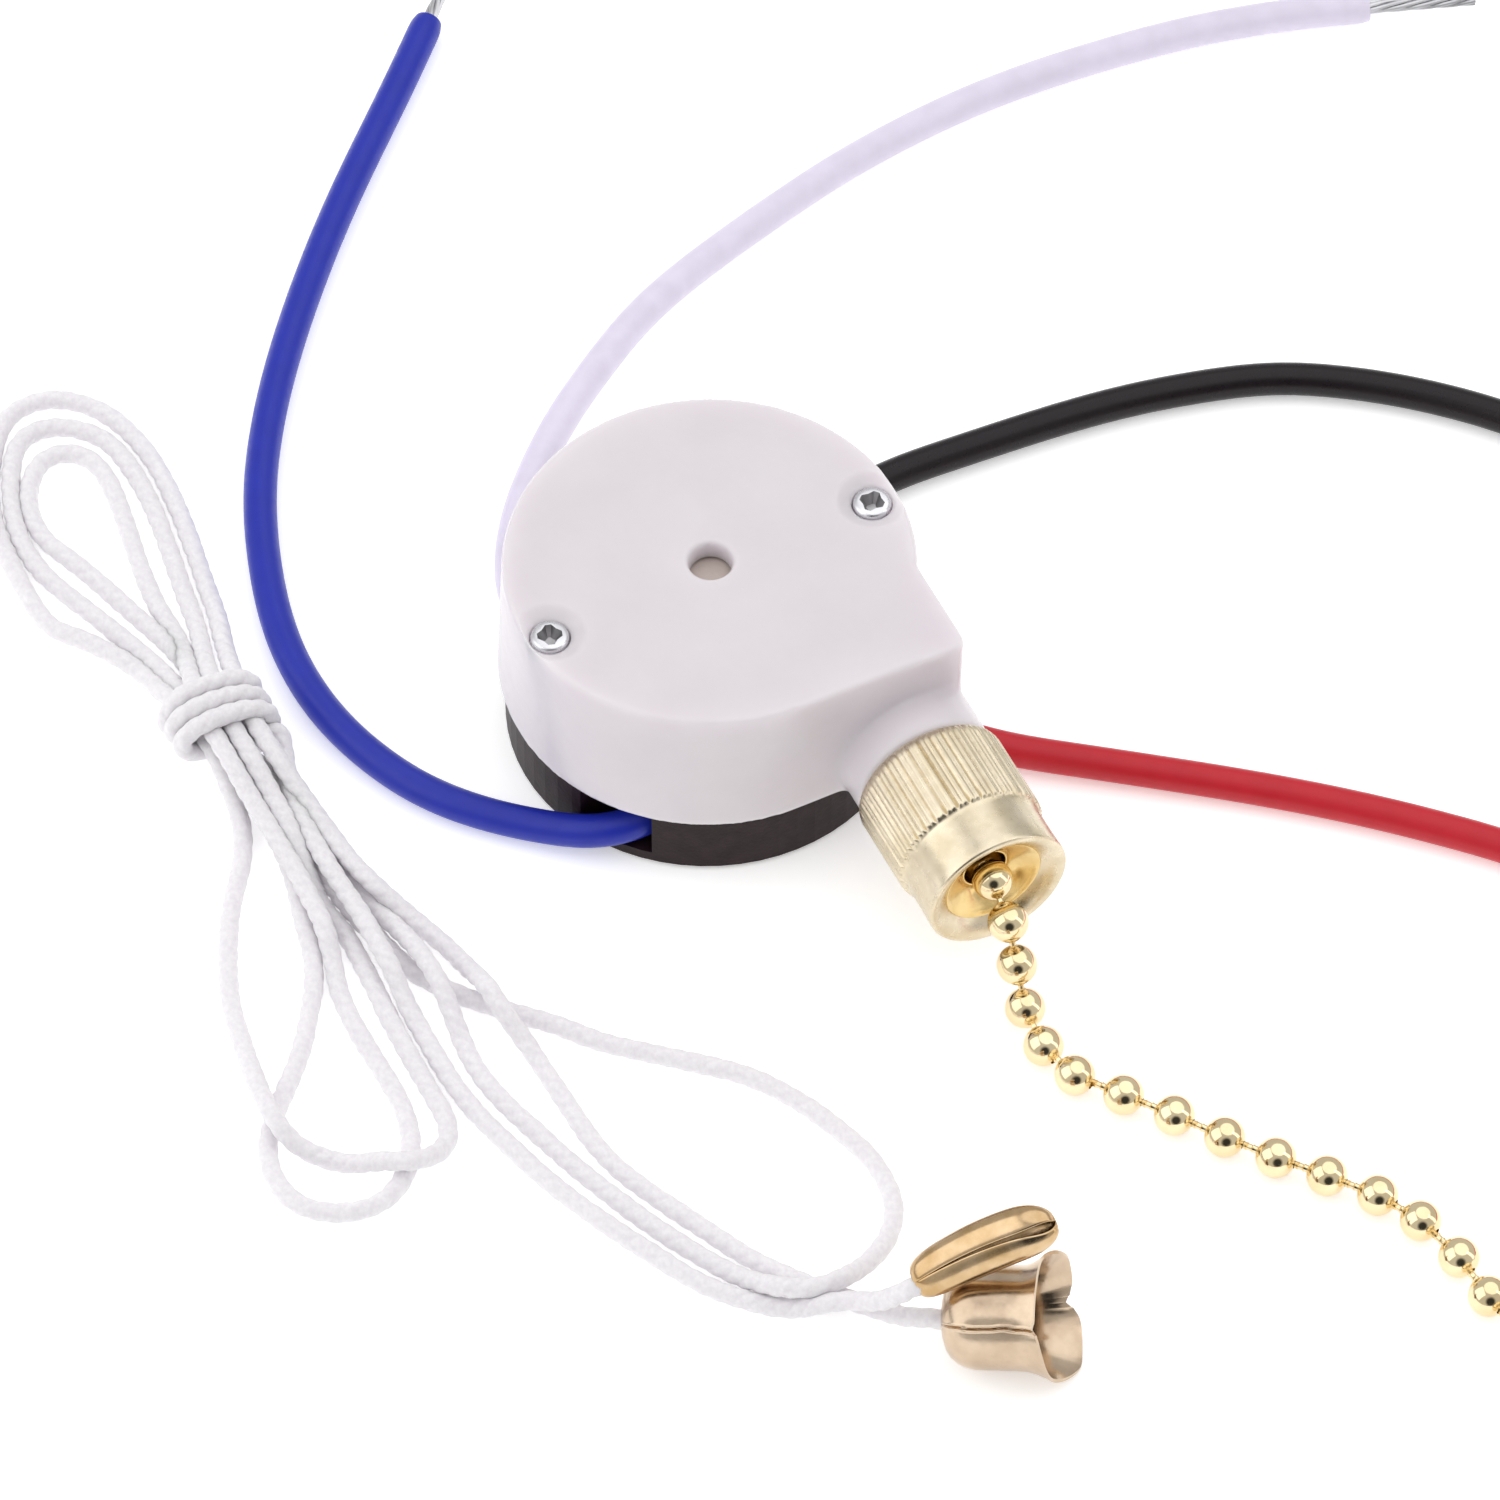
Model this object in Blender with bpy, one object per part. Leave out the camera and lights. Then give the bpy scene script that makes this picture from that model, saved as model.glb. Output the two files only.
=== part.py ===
"""Pull cord switch for a ceiling fan: a round snap-in switch with a knurled nut, a ball
chain, four lead wires, and its separate white pull cord with a bell and a chain coupling.

Frame: +Z up, z = 0 is the underside of the base, the Z axis is the axis of the round
body, and +X is the way the chain is pulled. Lengths below are in millimetres.
"""
import math

import bmesh
import bpy
from mathutils import Matrix, Vector

MM = 0.001

# Driving dimensions of the switch body
CAP_RADIUS = 16.4
BODY_HEIGHT = 19.0
BASE_RADIUS = 16.0
BASE_HEIGHT = 6.0
SEAM = 0.3
WALL = 1.8
ROOF = 1.6
EDGE_ROUND = 0.8
CORNER_Y = 14.1
CORNER_ROUND = 1.0
FLOOR_THICK = 1.6
POCKET_RADIUS = 12.9
CENTRE_HOLE_RADIUS = 1.85

# Screws through the cap
SCREW_PLACES = ((0.0, 14.2), (0.0, -14.2))
SCREW_POST_RADIUS = 2.3
SCREW_HEAD_RADIUS = 1.65
SCREW_SINK_RADIUS = 2.05
SCREW_SINK_DEPTH = 1.3

# Neck, nut and guide bush, all on one line parallel to X
NECK_Y = 9.2
NECK_Z = 9.3
NECK_RADIUS = 5.7
NECK_END = 19.2
SPIGOT_RADIUS = 4.5
SPIGOT_END = 27.6
NUT_START = 19.5
NUT_END = 32.5
KNURL_END = 27.6
KNURL_RADIUS = 6.35
NUT_BAND_RADIUS = 6.0

# Chain and drum
BEAD_RADIUS = 1.6
LINK_RADIUS = 0.45
BEAD_PITCH = 4.2
DRUM_PITCH_RADIUS = NECK_Y
FIRST_FREE_BEAD = 31.1
WOUND_BEADS = 5
CHAIN_RINGS = ((-1.35, 0.8), (-0.6, 1.48), (0.6, 1.48), (1.35, 0.8))

# Wires and their slots in the base
WIRE_RADIUS = 1.35
CONDUCTOR_RADIUS = 0.55
WIRE_X = 9.8
WIRE_START_Y = 8.6
WIRE_Z = 3.3
SLOT_LOW_X = 6.9
SLOT_HIGH_X = 11.9
STRIPPED_LENGTH = 9.0

# Pull cord
CORD_RADIUS = 0.8
CORD_TUBE_RADIUS = 0.75

SEGMENTS = 64
MINOR_SEGMENTS = 24

# Routes through hand-chosen points, as x, y, z
CHAIN_ROUTE = (
    (31.1, 9.2, 9.3), (34.4, 8.9, 8.0), (36.4, 8.7, 5.0), (38.5, 8.4, 2.1), (42.0, 8.2, 1.6),
    (45.5, 9.1, 1.6), (48.8, 11.6, 1.6), (52.2, 14.2, 1.6), (55.7, 16.7, 1.6), (59.1, 19.3, 1.6),
    (62.3, 22.0, 1.6), (65.6, 24.6, 1.6), (69.1, 26.4, 1.6), (73.3, 27.4, 1.6), (77.4, 27.7, 1.6),
    (81.6, 28.2, 1.6), (85.6, 29.5, 1.6), (89.0, 31.9, 1.6), (91.4, 35.3, 1.6), (92.5, 39.4, 1.6),
)
BLUE_ROUTE = (
    (9.8, -8.6, 3.3), (10.3, -10.4, 3.2), (10.0, -12.3, 3.1), (9.1, -14.3, 2.4),
    (6.2, -17.0, 1.6), (3.7, -19.9, 1.4), (0.5, -22.8, 1.4), (-3.5, -25.3, 1.4),
    (-11.5, -27.8, 1.4), (-20.8, -27.7, 1.4), (-31.8, -24.4, 1.4), (-40.0, -20.1, 1.4),
    (-48.7, -13.8, 1.4), (-58.5, -5.2, 1.4), (-68.8, 5.2, 1.4), (-74.0, 10.3, 1.4),
)
WHITE_ROUTE = (
    (-8.6, -9.8, 3.3), (-10.4, -10.1, 3.2), (-12.3, -10.1, 3.1), (-14.6, -9.9, 2.2),
    (-17.2, -9.2, 1.5), (-20.4, -7.5, 1.4), (-24.1, -4.9, 1.4), (-29.8, 0.9, 1.4),
    (-33.0, 5.2, 1.4), (-38.5, 14.3, 1.4), (-43.4, 29.8, 1.4), (-45.4, 39.6, 1.4),
    (-46.2, 49.1, 1.4), (-45.8, 58.5, 1.4), (-44.7, 67.5, 1.4), (-42.6, 76.0, 1.4),
    (-40.6, 81.6, 1.4),
)
BLACK_ROUTE = (
    (-9.8, 8.6, 3.3), (-10.0, 10.6, 3.2), (-10.4, 12.6, 3.1), (-11.3, 15.2, 2.2),
    (-12.9, 18.8, 1.5), (-13.6, 22.9, 1.4), (-13.3, 28.2, 1.4), (-13.0, 33.6, 1.4),
    (-12.5, 39.7, 1.4), (-11.6, 45.7, 1.4), (-9.5, 53.8, 1.4), (-7.8, 57.5, 1.4),
    (-4.2, 62.8, 1.4), (-0.3, 67.2, 1.4), (4.5, 71.5, 1.4), (11.0, 75.2, 1.4),
    (18.5, 77.0, 1.4), (26.0, 76.5, 1.4), (33.0, 74.0, 1.4),
)
RED_ROUTE = (
    (9.8, 8.6, 3.3), (9.9, 10.6, 3.2), (10.2, 12.5, 3.1), (11.6, 14.7, 2.3),
    (13.7, 17.0, 1.5), (15.8, 19.5, 1.4), (18.3, 22.9, 1.4), (22.3, 28.2, 1.4),
    (27.0, 34.3, 1.4), (32.1, 40.4, 1.4), (37.7, 46.3, 1.4), (43.5, 51.6, 1.4),
    (50.5, 55.6, 1.4), (58.5, 57.4, 1.4), (66.5, 56.6, 1.4), (73.5, 53.2, 1.4),
    (79.0, 48.2, 1.4),
)
RUN_TO_BELL = (
    (10.0, -29.6, 0.9), (12.4, -28.8, 0.8), (15.0, -28.3, 1.1), (17.0, -28.2, 2.1), (19.0, -28.1, 2.9),
    (21.3, -27.9, 2.4), (23.7, -27.3, 1.3), (26.6, -27.0, 0.8), (30.2, -26.8, 0.8),
    (33.8, -26.6, 0.8), (37.0, -26.0, 0.8), (40.4, -24.7, 0.8), (44.9, -22.6, 0.8),
    (49.2, -20.5, 0.8), (52.7, -18.1, 0.8), (54.3, -16.7, 0.8), (55.9, -15.4, 0.8),
    (57.7, -14.2, 1.2), (59.6, -13.1, 2.2), (61.0, -12.4, 3.0),
)
RUN_TO_COUPLING = (
    (10.9, -33.9, 2.6), (13.8, -33.9, 2.4), (16.3, -34.0, 1.4), (18.7, -33.9, 0.8),
    (21.6, -33.9, 0.8), (24.8, -33.8, 0.8), (28.3, -33.3, 0.8), (31.8, -32.4, 0.8),
    (36.2, -31.1, 0.8), (40.9, -29.2, 0.8), (45.3, -27.1, 0.8), (49.5, -24.9, 0.8),
    (52.6, -22.3, 0.8), (54.8, -19.6, 0.9), (56.3, -17.4, 2.3), (57.4, -15.8, 3.0),
    (58.8, -14.5, 4.4), (60.2, -13.6, 6.4),
)
LONG_LOOP = (
    (10.3, -33.0, 0.8), (13.2, -32.3, 0.8), (15.5, -31.0, 0.8), (17.5, -29.6, 0.8),
    (19.2, -28.1, 0.8), (21.0, -26.4, 0.8), (23.0, -24.4, 0.8), (26.0, -22.0, 0.8),
    (28.7, -19.0, 0.8), (31.3, -16.0, 0.8), (34.1, -13.1, 0.8), (37.9, -10.7, 0.8),
    (42.4, -8.9, 0.8), (45.8, -8.1, 0.8), (49.5, -8.5, 0.8), (52.0, -10.2, 0.8),
    (53.7, -12.9, 1.2), (54.9, -15.6, 2.6), (54.9, -17.9, 2.8), (53.5, -20.0, 2.4),
    (51.2, -21.6, 1.3), (48.4, -23.2, 0.8), (43.3, -25.8, 0.8), (38.1, -27.9, 0.8),
    (34.7, -29.1, 0.8), (31.6, -30.0, 0.8), (28.2, -31.0, 0.8), (24.6, -31.6, 0.8),
    (21.5, -31.5, 0.8), (18.9, -31.3, 1.7), (16.5, -31.2, 2.6), (13.6, -31.3, 2.6),
    (10.6, -31.5, 2.0),
)
OUTER_LOOP = (
    (-2.2, -39.6, 0.8), (-0.6, -40.5, 0.8), (2.0, -42.3, 0.8), (5.4, -44.1, 0.8),
    (9.8, -45.9, 0.8), (14.6, -46.9, 1.0), (19.2, -47.7, 2.1), (22.9, -48.0, 2.8),
    (24.9, -47.2, 1.6), (26.4, -45.7, 0.8), (28.0, -44.0, 0.9), (29.4, -42.3, 2.1),
    (30.8, -40.6, 2.8), (30.6, -38.3, 1.8), (29.2, -36.4, 0.8), (27.3, -35.7, 0.8),
    (25.4, -35.7, 0.8), (22.9, -35.7, 0.8), (19.7, -35.7, 0.8), (16.3, -35.6, 0.8),
    (13.5, -35.4, 0.8), (10.4, -35.3, 0.8),
)
INNER_LOOP = (
    (10.2, -39.0, 0.8), (11.9, -39.8, 0.8), (13.4, -40.8, 0.8), (15.1, -41.9, 0.8),
    (17.2, -43.5, 0.8), (19.3, -45.5, 0.8), (21.4, -47.5, 0.8), (23.9, -49.2, 0.8),
    (26.9, -49.8, 0.8), (29.6, -49.1, 0.8), (31.4, -47.1, 0.8), (32.2, -44.4, 0.8),
    (31.6, -42.0, 0.8), (29.8, -40.0, 0.8), (27.5, -38.8, 0.8), (24.6, -38.2, 0.8),
    (21.5, -38.2, 0.8), (18.5, -38.3, 0.8), (15.6, -38.3, 0.8), (12.6, -38.0, 0.9),
    (10.2, -37.4, 1.3),
)
UPPER_LOOPS = (
    (-24.6, -33.0, 2.0), (-28.0, -32.6, 2.4), (-32.0, -32.1, 2.6), (-37.0, -31.4, 2.6),
    (-41.5, -31.4, 2.6), (-45.5, -32.4, 2.6), (-48.2, -34.8, 2.6), (-48.4, -37.4, 2.6),
    (-46.2, -39.7, 2.6), (-42.4, -41.5, 2.6), (-38.6, -42.0, 2.6), (-34.9, -41.7, 2.6),
    (-31.0, -40.6, 2.4), (-27.6, -39.2, 2.0), (-24.8, -38.3, 1.8),
)
TIED_BUNDLE = (
    (-24.2, -35.8, 4.2, 3.2), (-20.5, -35.9, 4.3, 4.6), (-17.0, -36.0, 4.7, 6.6),
    (-13.5, -36.0, 4.9, 6.9), (-9.5, -35.8, 4.7, 6.6), (-6.0, -35.4, 4.3, 4.6),
    (-2.0, -34.9, 3.5, 3.5), (2.5, -34.5, 3.6, 3.5), (6.5, -34.3, 4.1, 3.4),
    (9.4, -34.2, 4.6, 3.3),
)

# Bell and coupling, each given by where its closed end is and which way it points
BELL_END = (62.6, -10.8, 3.75)
BELL_TURN = 55.0
BELL_TILT = 11.0
BELL_LENGTH = 9.6
COUPLING_END = (61.1, -12.7, 7.8)
COUPLING_TURN = 74.0
COUPLING_TILT = 27.0
COUPLING_LENGTH = 12.2


def clear_scene():
    """Remove whatever the open file holds."""
    for old in list(bpy.data.objects):
        bpy.data.objects.remove(old, do_unlink=True)


def surface(name, colour, roughness, metallic):
    """Return a Principled material."""
    made = bpy.data.materials.new(name)
    made.use_nodes = True
    shader = made.node_tree.nodes["Principled BSDF"]
    shader.inputs["Base Color"].default_value = (*colour, 1.0)
    shader.inputs["Roughness"].default_value = roughness
    shader.inputs["Metallic"].default_value = metallic
    return made


def pivot(name, place):
    """Add an empty that moving pieces hang on."""
    empty = bpy.data.objects.new(name, None)
    bpy.context.collection.objects.link(empty)
    empty.location = Vector(place) * MM
    empty.hide_render = True
    return empty


def add_piece(name, mesh, finish, parent=None):
    """Link a mesh as a named piece whose vertices are in the row's frame."""
    piece = bpy.data.objects.new(name, mesh)
    bpy.context.collection.objects.link(piece)
    mesh.materials.append(finish)
    if parent is not None:
        piece.parent = parent
        piece.location = -parent.location
    return piece


def close_mesh(name, shape, matrix=None, smooth=True):
    """Turn a bmesh in millimetres into a mesh in metres with its faces pointing out."""
    bmesh.ops.remove_doubles(shape, verts=shape.verts, dist=1e-5)
    bmesh.ops.recalc_face_normals(shape, faces=shape.faces)
    if matrix is not None:
        bmesh.ops.transform(shape, matrix=matrix, verts=shape.verts)
        if matrix.determinant() < 0:
            bmesh.ops.reverse_faces(shape, faces=shape.faces)
    bmesh.ops.scale(shape, vec=(MM, MM, MM), verts=shape.verts)
    mesh = bpy.data.meshes.new(name)
    shape.to_mesh(mesh)
    shape.free()
    if smooth:
        mesh.shade_smooth()
        mesh.set_sharp_from_angle(angle=math.radians(35))
    return mesh


def skin_rings(rings, closed=False):
    """Return a bmesh through rings of equal point counts, capped unless it is closed."""
    shape = bmesh.new()
    made = [[shape.verts.new(point) for point in ring] for ring in rings]
    pairs = list(zip(made, made[1:]))
    if closed:
        pairs.append((made[-1], made[0]))
    for low, high in pairs:
        count = len(low)
        for i in range(count):
            j = (i + 1) % count
            shape.faces.new((low[i], low[j], high[j], high[i]))
    if not closed:
        shape.faces.new(made[0])
        shape.faces.new(made[-1])
    return shape


def turned(profile, segments=MINOR_SEGMENTS):
    """Turn a closed outline of (radius, height) points about Z."""
    shape = bmesh.new()
    rings = []
    for radius, height in profile:
        if radius < 1e-6:
            rings.append([shape.verts.new((0, 0, height))])
            continue
        ring = []
        for i in range(segments):
            turn = 2 * math.pi * i / segments
            ring.append(shape.verts.new((radius * math.cos(turn), radius * math.sin(turn), height)))
        rings.append(ring)
    for low, high in zip(rings, rings[1:] + rings[:1]):
        for i in range(segments):
            j = (i + 1) % segments
            corners = [low[i % len(low)], low[j % len(low)], high[j % len(high)], high[i % len(high)]]
            corners = list(dict.fromkeys(corners))
            if len(corners) > 2:
                shape.faces.new(corners)
    return shape


def prism(outline, low, high):
    """Extrude an outline of (x, y) points from one height to another."""
    return skin_rings([[(x, y, low) for x, y in outline], [(x, y, high) for x, y in outline]])


def circle_points(radius, count, centre=(0.0, 0.0)):
    """Return the corners of a regular outline."""
    turns = (2 * math.pi * i / count for i in range(count))
    return [(centre[0] + radius * math.cos(t), centre[1] + radius * math.sin(t)) for t in turns]


def along_x(y, z):
    """Return the matrix that lays a Z-axis shape along X, on the line at y and z."""
    return Matrix.Translation((0, y, z)) @ Matrix.Rotation(math.radians(90), 4, "Y")


def cutter(name, shape, matrix=None):
    """Add a hidden shape for a Boolean."""
    mesh = close_mesh(name, shape, matrix, smooth=False)
    tool = bpy.data.objects.new(name, mesh)
    bpy.context.collection.objects.link(tool)
    tool.hide_render = True
    tool.display_type = "WIRE"
    return tool


def combine(piece, tool, operation):
    """Add a Boolean modifier with its exact solver."""
    step = piece.modifiers.new(operation.lower() + "_" + tool.name, "BOOLEAN")
    step.operation = operation
    step.solver = "EXACT"
    step.object = tool


def smooth_route(points, spacing):
    """Return points a given distance apart on a smooth curve through the given ones."""
    route = [Vector(p) for p in points]
    route = [route[0] * 2 - route[1]] + route + [route[-1] * 2 - route[-2]]
    fine = []
    for a, b, c, d in zip(route, route[1:], route[2:], route[3:]):
        for i in range(12):
            t = i / 12
            fine.append(
                0.5 * (2 * b + (c - a) * t + (2 * a - 5 * b + 4 * c - d) * t * t
                       + (3 * b - a - 3 * c + d) * t * t * t)
            )
    fine.append(route[-2])
    total = sum((b - a).length for a, b in zip(fine, fine[1:]))
    count = max(2, round(total / spacing))
    picked = [fine[0]]
    walked = 0.0
    for a, b in zip(fine, fine[1:]):
        step = (b - a).length
        while len(picked) < count and walked + step >= len(picked) * total / count:
            share = (len(picked) * total / count - walked) / step
            picked.append(a.lerp(b, share))
        walked += step
    picked.append(fine[-1])
    return picked


def tube(name, points, radius, finish, parent=None):
    """Add a round tube as a curve with filled ends."""
    curve = bpy.data.curves.new(name, "CURVE")
    curve.dimensions = "3D"
    curve.bevel_depth = radius * MM
    curve.bevel_resolution = 2
    curve.use_fill_caps = True
    curve.render_resolution_u = 0
    line = curve.splines.new("POLY")
    line.points.add(len(points) - 1)
    for target, point in zip(line.points, points):
        target.co = (*(Vector(point) * MM), 1.0)
    curve.materials.append(finish)
    piece = bpy.data.objects.new(name, curve)
    bpy.context.collection.objects.link(piece)
    if parent is not None:
        piece.parent = parent
        piece.location = -parent.location
    return piece


def cap_outline(inset, arc_steps=SEGMENTS):
    """Return the cap's outline: a circle with one squared corner, moved in by inset."""
    radius = CAP_RADIUS - inset
    corner_y = CORNER_Y - inset
    corner_x = CAP_RADIUS - inset
    rounding = CORNER_ROUND - 0.5 * inset
    points = []
    for i in range(5):
        turn = math.radians(90 * i / 4)
        points.append((corner_x - rounding + rounding * math.cos(turn),
                       corner_y - rounding + rounding * math.sin(turn)))
    start = math.asin(corner_y / radius)
    for i in range(arc_steps + 1):
        turn = start + (2 * math.pi - start) * i / arc_steps
        points.append((radius * math.cos(turn), radius * math.sin(turn)))
    return points


def pocket_outline(radius, post_radius):
    """Return a round outline with a bay left standing round each screw."""
    points = []
    for i in range(96):
        turn = 2 * math.pi * i / 96
        reach = radius
        for post in SCREW_PLACES:
            along = math.cos(turn) * post[0] + math.sin(turn) * post[1]
            inside = along * along - (post[0] ** 2 + post[1] ** 2 - post_radius ** 2)
            if along > 0 and inside > 0:
                reach = min(reach, along - math.sqrt(inside))
        points.append((reach * math.cos(turn), reach * math.sin(turn)))
    return points


def make_cap(finish):
    """White cap: hollow round shell with a squared corner and the round neck."""
    low = BASE_HEIGHT + SEAM
    rings = [[(x, y, low) for x, y in cap_outline(0.0)]]
    for i in range(4):
        turn = math.radians(90 * i / 3)
        inset = EDGE_ROUND * (1 - math.cos(turn))
        height = BODY_HEIGHT - EDGE_ROUND * (1 - math.sin(turn))
        rings.append([(x, y, height) for x, y in cap_outline(inset)])
    cap = add_piece("housing_cap", close_mesh("housing_cap", skin_rings(rings)), finish)
    neck_profile = (
        (0, 16.1), (NECK_RADIUS, 16.1), (NECK_RADIUS, NECK_END), (SPIGOT_RADIUS, NECK_END),
        (SPIGOT_RADIUS, SPIGOT_END), (0, SPIGOT_END),
    )
    neck = cutter("neck_form", turned(neck_profile, 40), along_x(NECK_Y, NECK_Z))
    combine(cap, neck, "UNION")
    roof = BODY_HEIGHT - ROOF
    hollow = prism(pocket_outline(CAP_RADIUS - WALL, SCREW_POST_RADIUS), low - 1, roof)
    combine(cap, cutter("cap_hollow", hollow), "DIFFERENCE")
    bore_profile = ((0, 9), (2.4, 9), (2.4, 23.7), (3.4, 23.7), (3.4, 29), (0, 29))
    combine(cap, cutter("neck_bore", turned(bore_profile), along_x(NECK_Y, NECK_Z)), "DIFFERENCE")
    hole = prism(circle_points(CENTRE_HOLE_RADIUS, 32), roof - 1, BODY_HEIGHT + 1)
    combine(cap, cutter("centre_hole", hole), "DIFFERENCE")
    for number, place in enumerate(SCREW_PLACES, 1):
        sink_floor = BODY_HEIGHT - SCREW_SINK_DEPTH
        profile = ((0, low - 1), (1.2, low - 1), (1.2, sink_floor), (SCREW_SINK_RADIUS, sink_floor),
                   (SCREW_SINK_RADIUS, BODY_HEIGHT + 1), (0, BODY_HEIGHT + 1))
        sink = cutter(f"screw_sink_{number}", turned(profile), Matrix.Translation((*place, 0)))
        combine(cap, sink, "DIFFERENCE")
    return cap


def make_base(finish):
    """Black base: shallow round tray with wire slots in its rim and a boss for the axle."""
    chamfer = 0.4
    rings = [
        [(x, y, 0) for x, y in circle_points(BASE_RADIUS - chamfer, SEGMENTS)],
        [(x, y, chamfer) for x, y in circle_points(BASE_RADIUS, SEGMENTS)],
        [(x, y, BASE_HEIGHT) for x, y in circle_points(BASE_RADIUS, SEGMENTS)],
    ]
    base = add_piece("base", close_mesh("base", skin_rings(rings)), finish)
    pocket = prism(pocket_outline(POCKET_RADIUS, SCREW_POST_RADIUS), FLOOR_THICK, BASE_HEIGHT + 1)
    combine(base, cutter("base_pocket", pocket), "DIFFERENCE")
    boss = prism(circle_points(2.6, 24), FLOOR_THICK / 2, 2.5)
    combine(base, cutter("axle_boss", boss), "UNION")
    combine(base, cutter("axle_seat", prism(circle_points(1.4, 24), 0.6, 3.5)), "DIFFERENCE")
    for number, place in enumerate(SCREW_PLACES, 1):
        hole = prism(circle_points(1.15, 16, place), 1.2, BASE_HEIGHT + 1)
        combine(base, cutter(f"base_screw_hole_{number}", hole), "DIFFERENCE")
    for name, place in WIRE_PLACES.items():
        slot = prism(((SLOT_LOW_X, -20), (SLOT_HIGH_X, -20), (SLOT_HIGH_X, -6.5), (SLOT_LOW_X, -6.5)),
                     1.4, BASE_HEIGHT + 1)
        combine(base, cutter(f"slot_{name}", slot, place), "DIFFERENCE")
    return base


def make_screws(finish):
    """Two cross-head screws from the cap into the base."""
    seat = BODY_HEIGHT - SCREW_SINK_DEPTH + SEAM
    profile = (
        (0, 2.4), (0.5, 2.4), (0.9, 3.2), (0.9, seat), (SCREW_HEAD_RADIUS, seat),
        (SCREW_HEAD_RADIUS, seat + 0.45), (1.35, seat + 0.8), (0, seat + 0.9),
    )
    for number, place in enumerate(SCREW_PLACES, 1):
        stand = Matrix.Translation((*place, 0)) @ Matrix.Rotation(math.radians(20 * number), 4, "Z")
        screw = add_piece(f"cap_screw_{number}", close_mesh("screw", turned(profile, 20), stand), finish)
        arm, half = 1.0, 0.2
        cross = ((arm, half), (half, half), (half, arm), (-half, arm), (-half, half), (-arm, half),
                 (-arm, -half), (-half, -half), (-half, -arm), (half, -arm), (half, -half), (arm, -half))
        recess = cutter(f"cross_recess_{number}", prism(cross, seat + 0.25, seat + 2), stand)
        combine(screw, recess, "DIFFERENCE")


def make_nut(finish, parent):
    """Knurled band, smooth band and a rim round a shallow mouth."""
    profile = (
        (4.8, NUT_START), (6.0, NUT_START), (KNURL_RADIUS, NUT_START + 0.4),
        (KNURL_RADIUS, KNURL_END), (NUT_BAND_RADIUS, KNURL_END + 0.3),
        (NUT_BAND_RADIUS, NUT_END - 0.4), (5.7, NUT_END), (4.6, NUT_END), (4.5, 29.2),
        (3.45, 29.2), (3.45, 28.2), (4.8, 28.2),
    )
    mesh = close_mesh("knurled_nut", turned(profile, 48), along_x(NECK_Y, NECK_Z))
    add_piece("knurled_nut", mesh, finish, parent)


def make_bush(finish):
    """Flanged eyelet that the chain runs through."""
    profile = (
        (2.15, 24.2), (3.1, 24.2), (3.1, 29.5), (4.2, 29.5), (4.2, 30.1), (3.1, 30.3),
        (3.0, 31.0), (2.6, 31.3), (2.15, 31.0),
    )
    mesh = close_mesh("chain_guide_bush", turned(profile, 32), along_x(NECK_Y, NECK_Z))
    add_piece("chain_guide_bush", mesh, finish)


def make_axle(finish):
    """Steel pin that the rotor and the drum turn on."""
    profile = ((0, 0.9), (0.9, 0.9), (1.1, 1.2), (1.1, 15.2), (0.8, 15.6), (0, 15.6))
    add_piece("axle_pin", close_mesh("axle_pin", turned(profile)), finish)


def make_drum(finish, parent):
    """Pull drum: chain groove, flange and a tall hub that shows in the cap's centre hole."""
    profile = (
        (6.2, 7.7), (7.2, 7.7), (7.2, 11.2), (11.0, 11.2), (11.0, 12.2), (3.0, 12.2),
        (3.0, 16.8), (2.7, 17.1), (0, 17.1), (0, 16.0), (1.4, 16.0), (1.4, 10.4), (6.2, 10.4),
    )
    add_piece("pull_drum", close_mesh("pull_drum", turned(profile, 48)), finish, parent)


def bead_rings(centres, directions, sides=8):
    """Return rings round beads that stand at the given centres, joined by thin links."""
    rings = []
    for number, (centre, direction) in enumerate(zip(centres, directions)):
        ahead = Vector(direction).normalized()
        side = ahead.cross(Vector((0, 0, 1)))
        side = side.normalized() if side.length > 0.1 else Vector((0, 1, 0))
        above = side.cross(ahead)
        stations = list(CHAIN_RINGS)
        if number > 0:
            stations.insert(0, (-1.62, LINK_RADIUS))
        if number < len(centres) - 1:
            stations.append((1.62, LINK_RADIUS))
        for offset, radius in stations:
            middle = Vector(centre) + ahead * offset
            ring = []
            for i in range(sides):
                turn = 2 * math.pi * (i + 0.5) / sides
                ring.append(middle + side * (radius * math.cos(turn)) + above * (radius * math.sin(turn)))
            rings.append(ring)
    return rings


def chain_directions(centres):
    """Return the way the chain runs at each bead."""
    padded = [centres[0] * 2 - centres[1]] + centres + [centres[-1] * 2 - centres[-2]]
    return [after - before for before, after in zip(padded, padded[2:])]


def make_chain(finish, pull_parent, drum_parent):
    """Free chain, the straight run through the neck and the turn wound on the drum."""
    free = [Vector(p) for p in CHAIN_ROUTE]
    shape = skin_rings(bead_rings(free, chain_directions(free)))
    add_piece("ball_chain", close_mesh("ball_chain", shape), finish, pull_parent)
    straight = [Vector((FIRST_FREE_BEAD - BEAD_PITCH * i, NECK_Y, NECK_Z)) for i in range(1, 8)]
    shape = skin_rings(bead_rings(straight, chain_directions(straight)))
    add_piece("inner_chain", close_mesh("inner_chain", shape), finish, pull_parent)
    first_turn = (BEAD_PITCH - straight[-1].x) / DRUM_PITCH_RADIUS
    wound = []
    for i in range(WOUND_BEADS):
        turn = math.radians(90) + first_turn + i * BEAD_PITCH / DRUM_PITCH_RADIUS
        wound.append(Vector((math.cos(turn), math.sin(turn), 0)) * DRUM_PITCH_RADIUS
                     + Vector((0, 0, NECK_Z)))
    shape = skin_rings(bead_rings(wound, chain_directions(wound)))
    add_piece("wound_chain", close_mesh("wound_chain", shape), finish, drum_parent)


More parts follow.
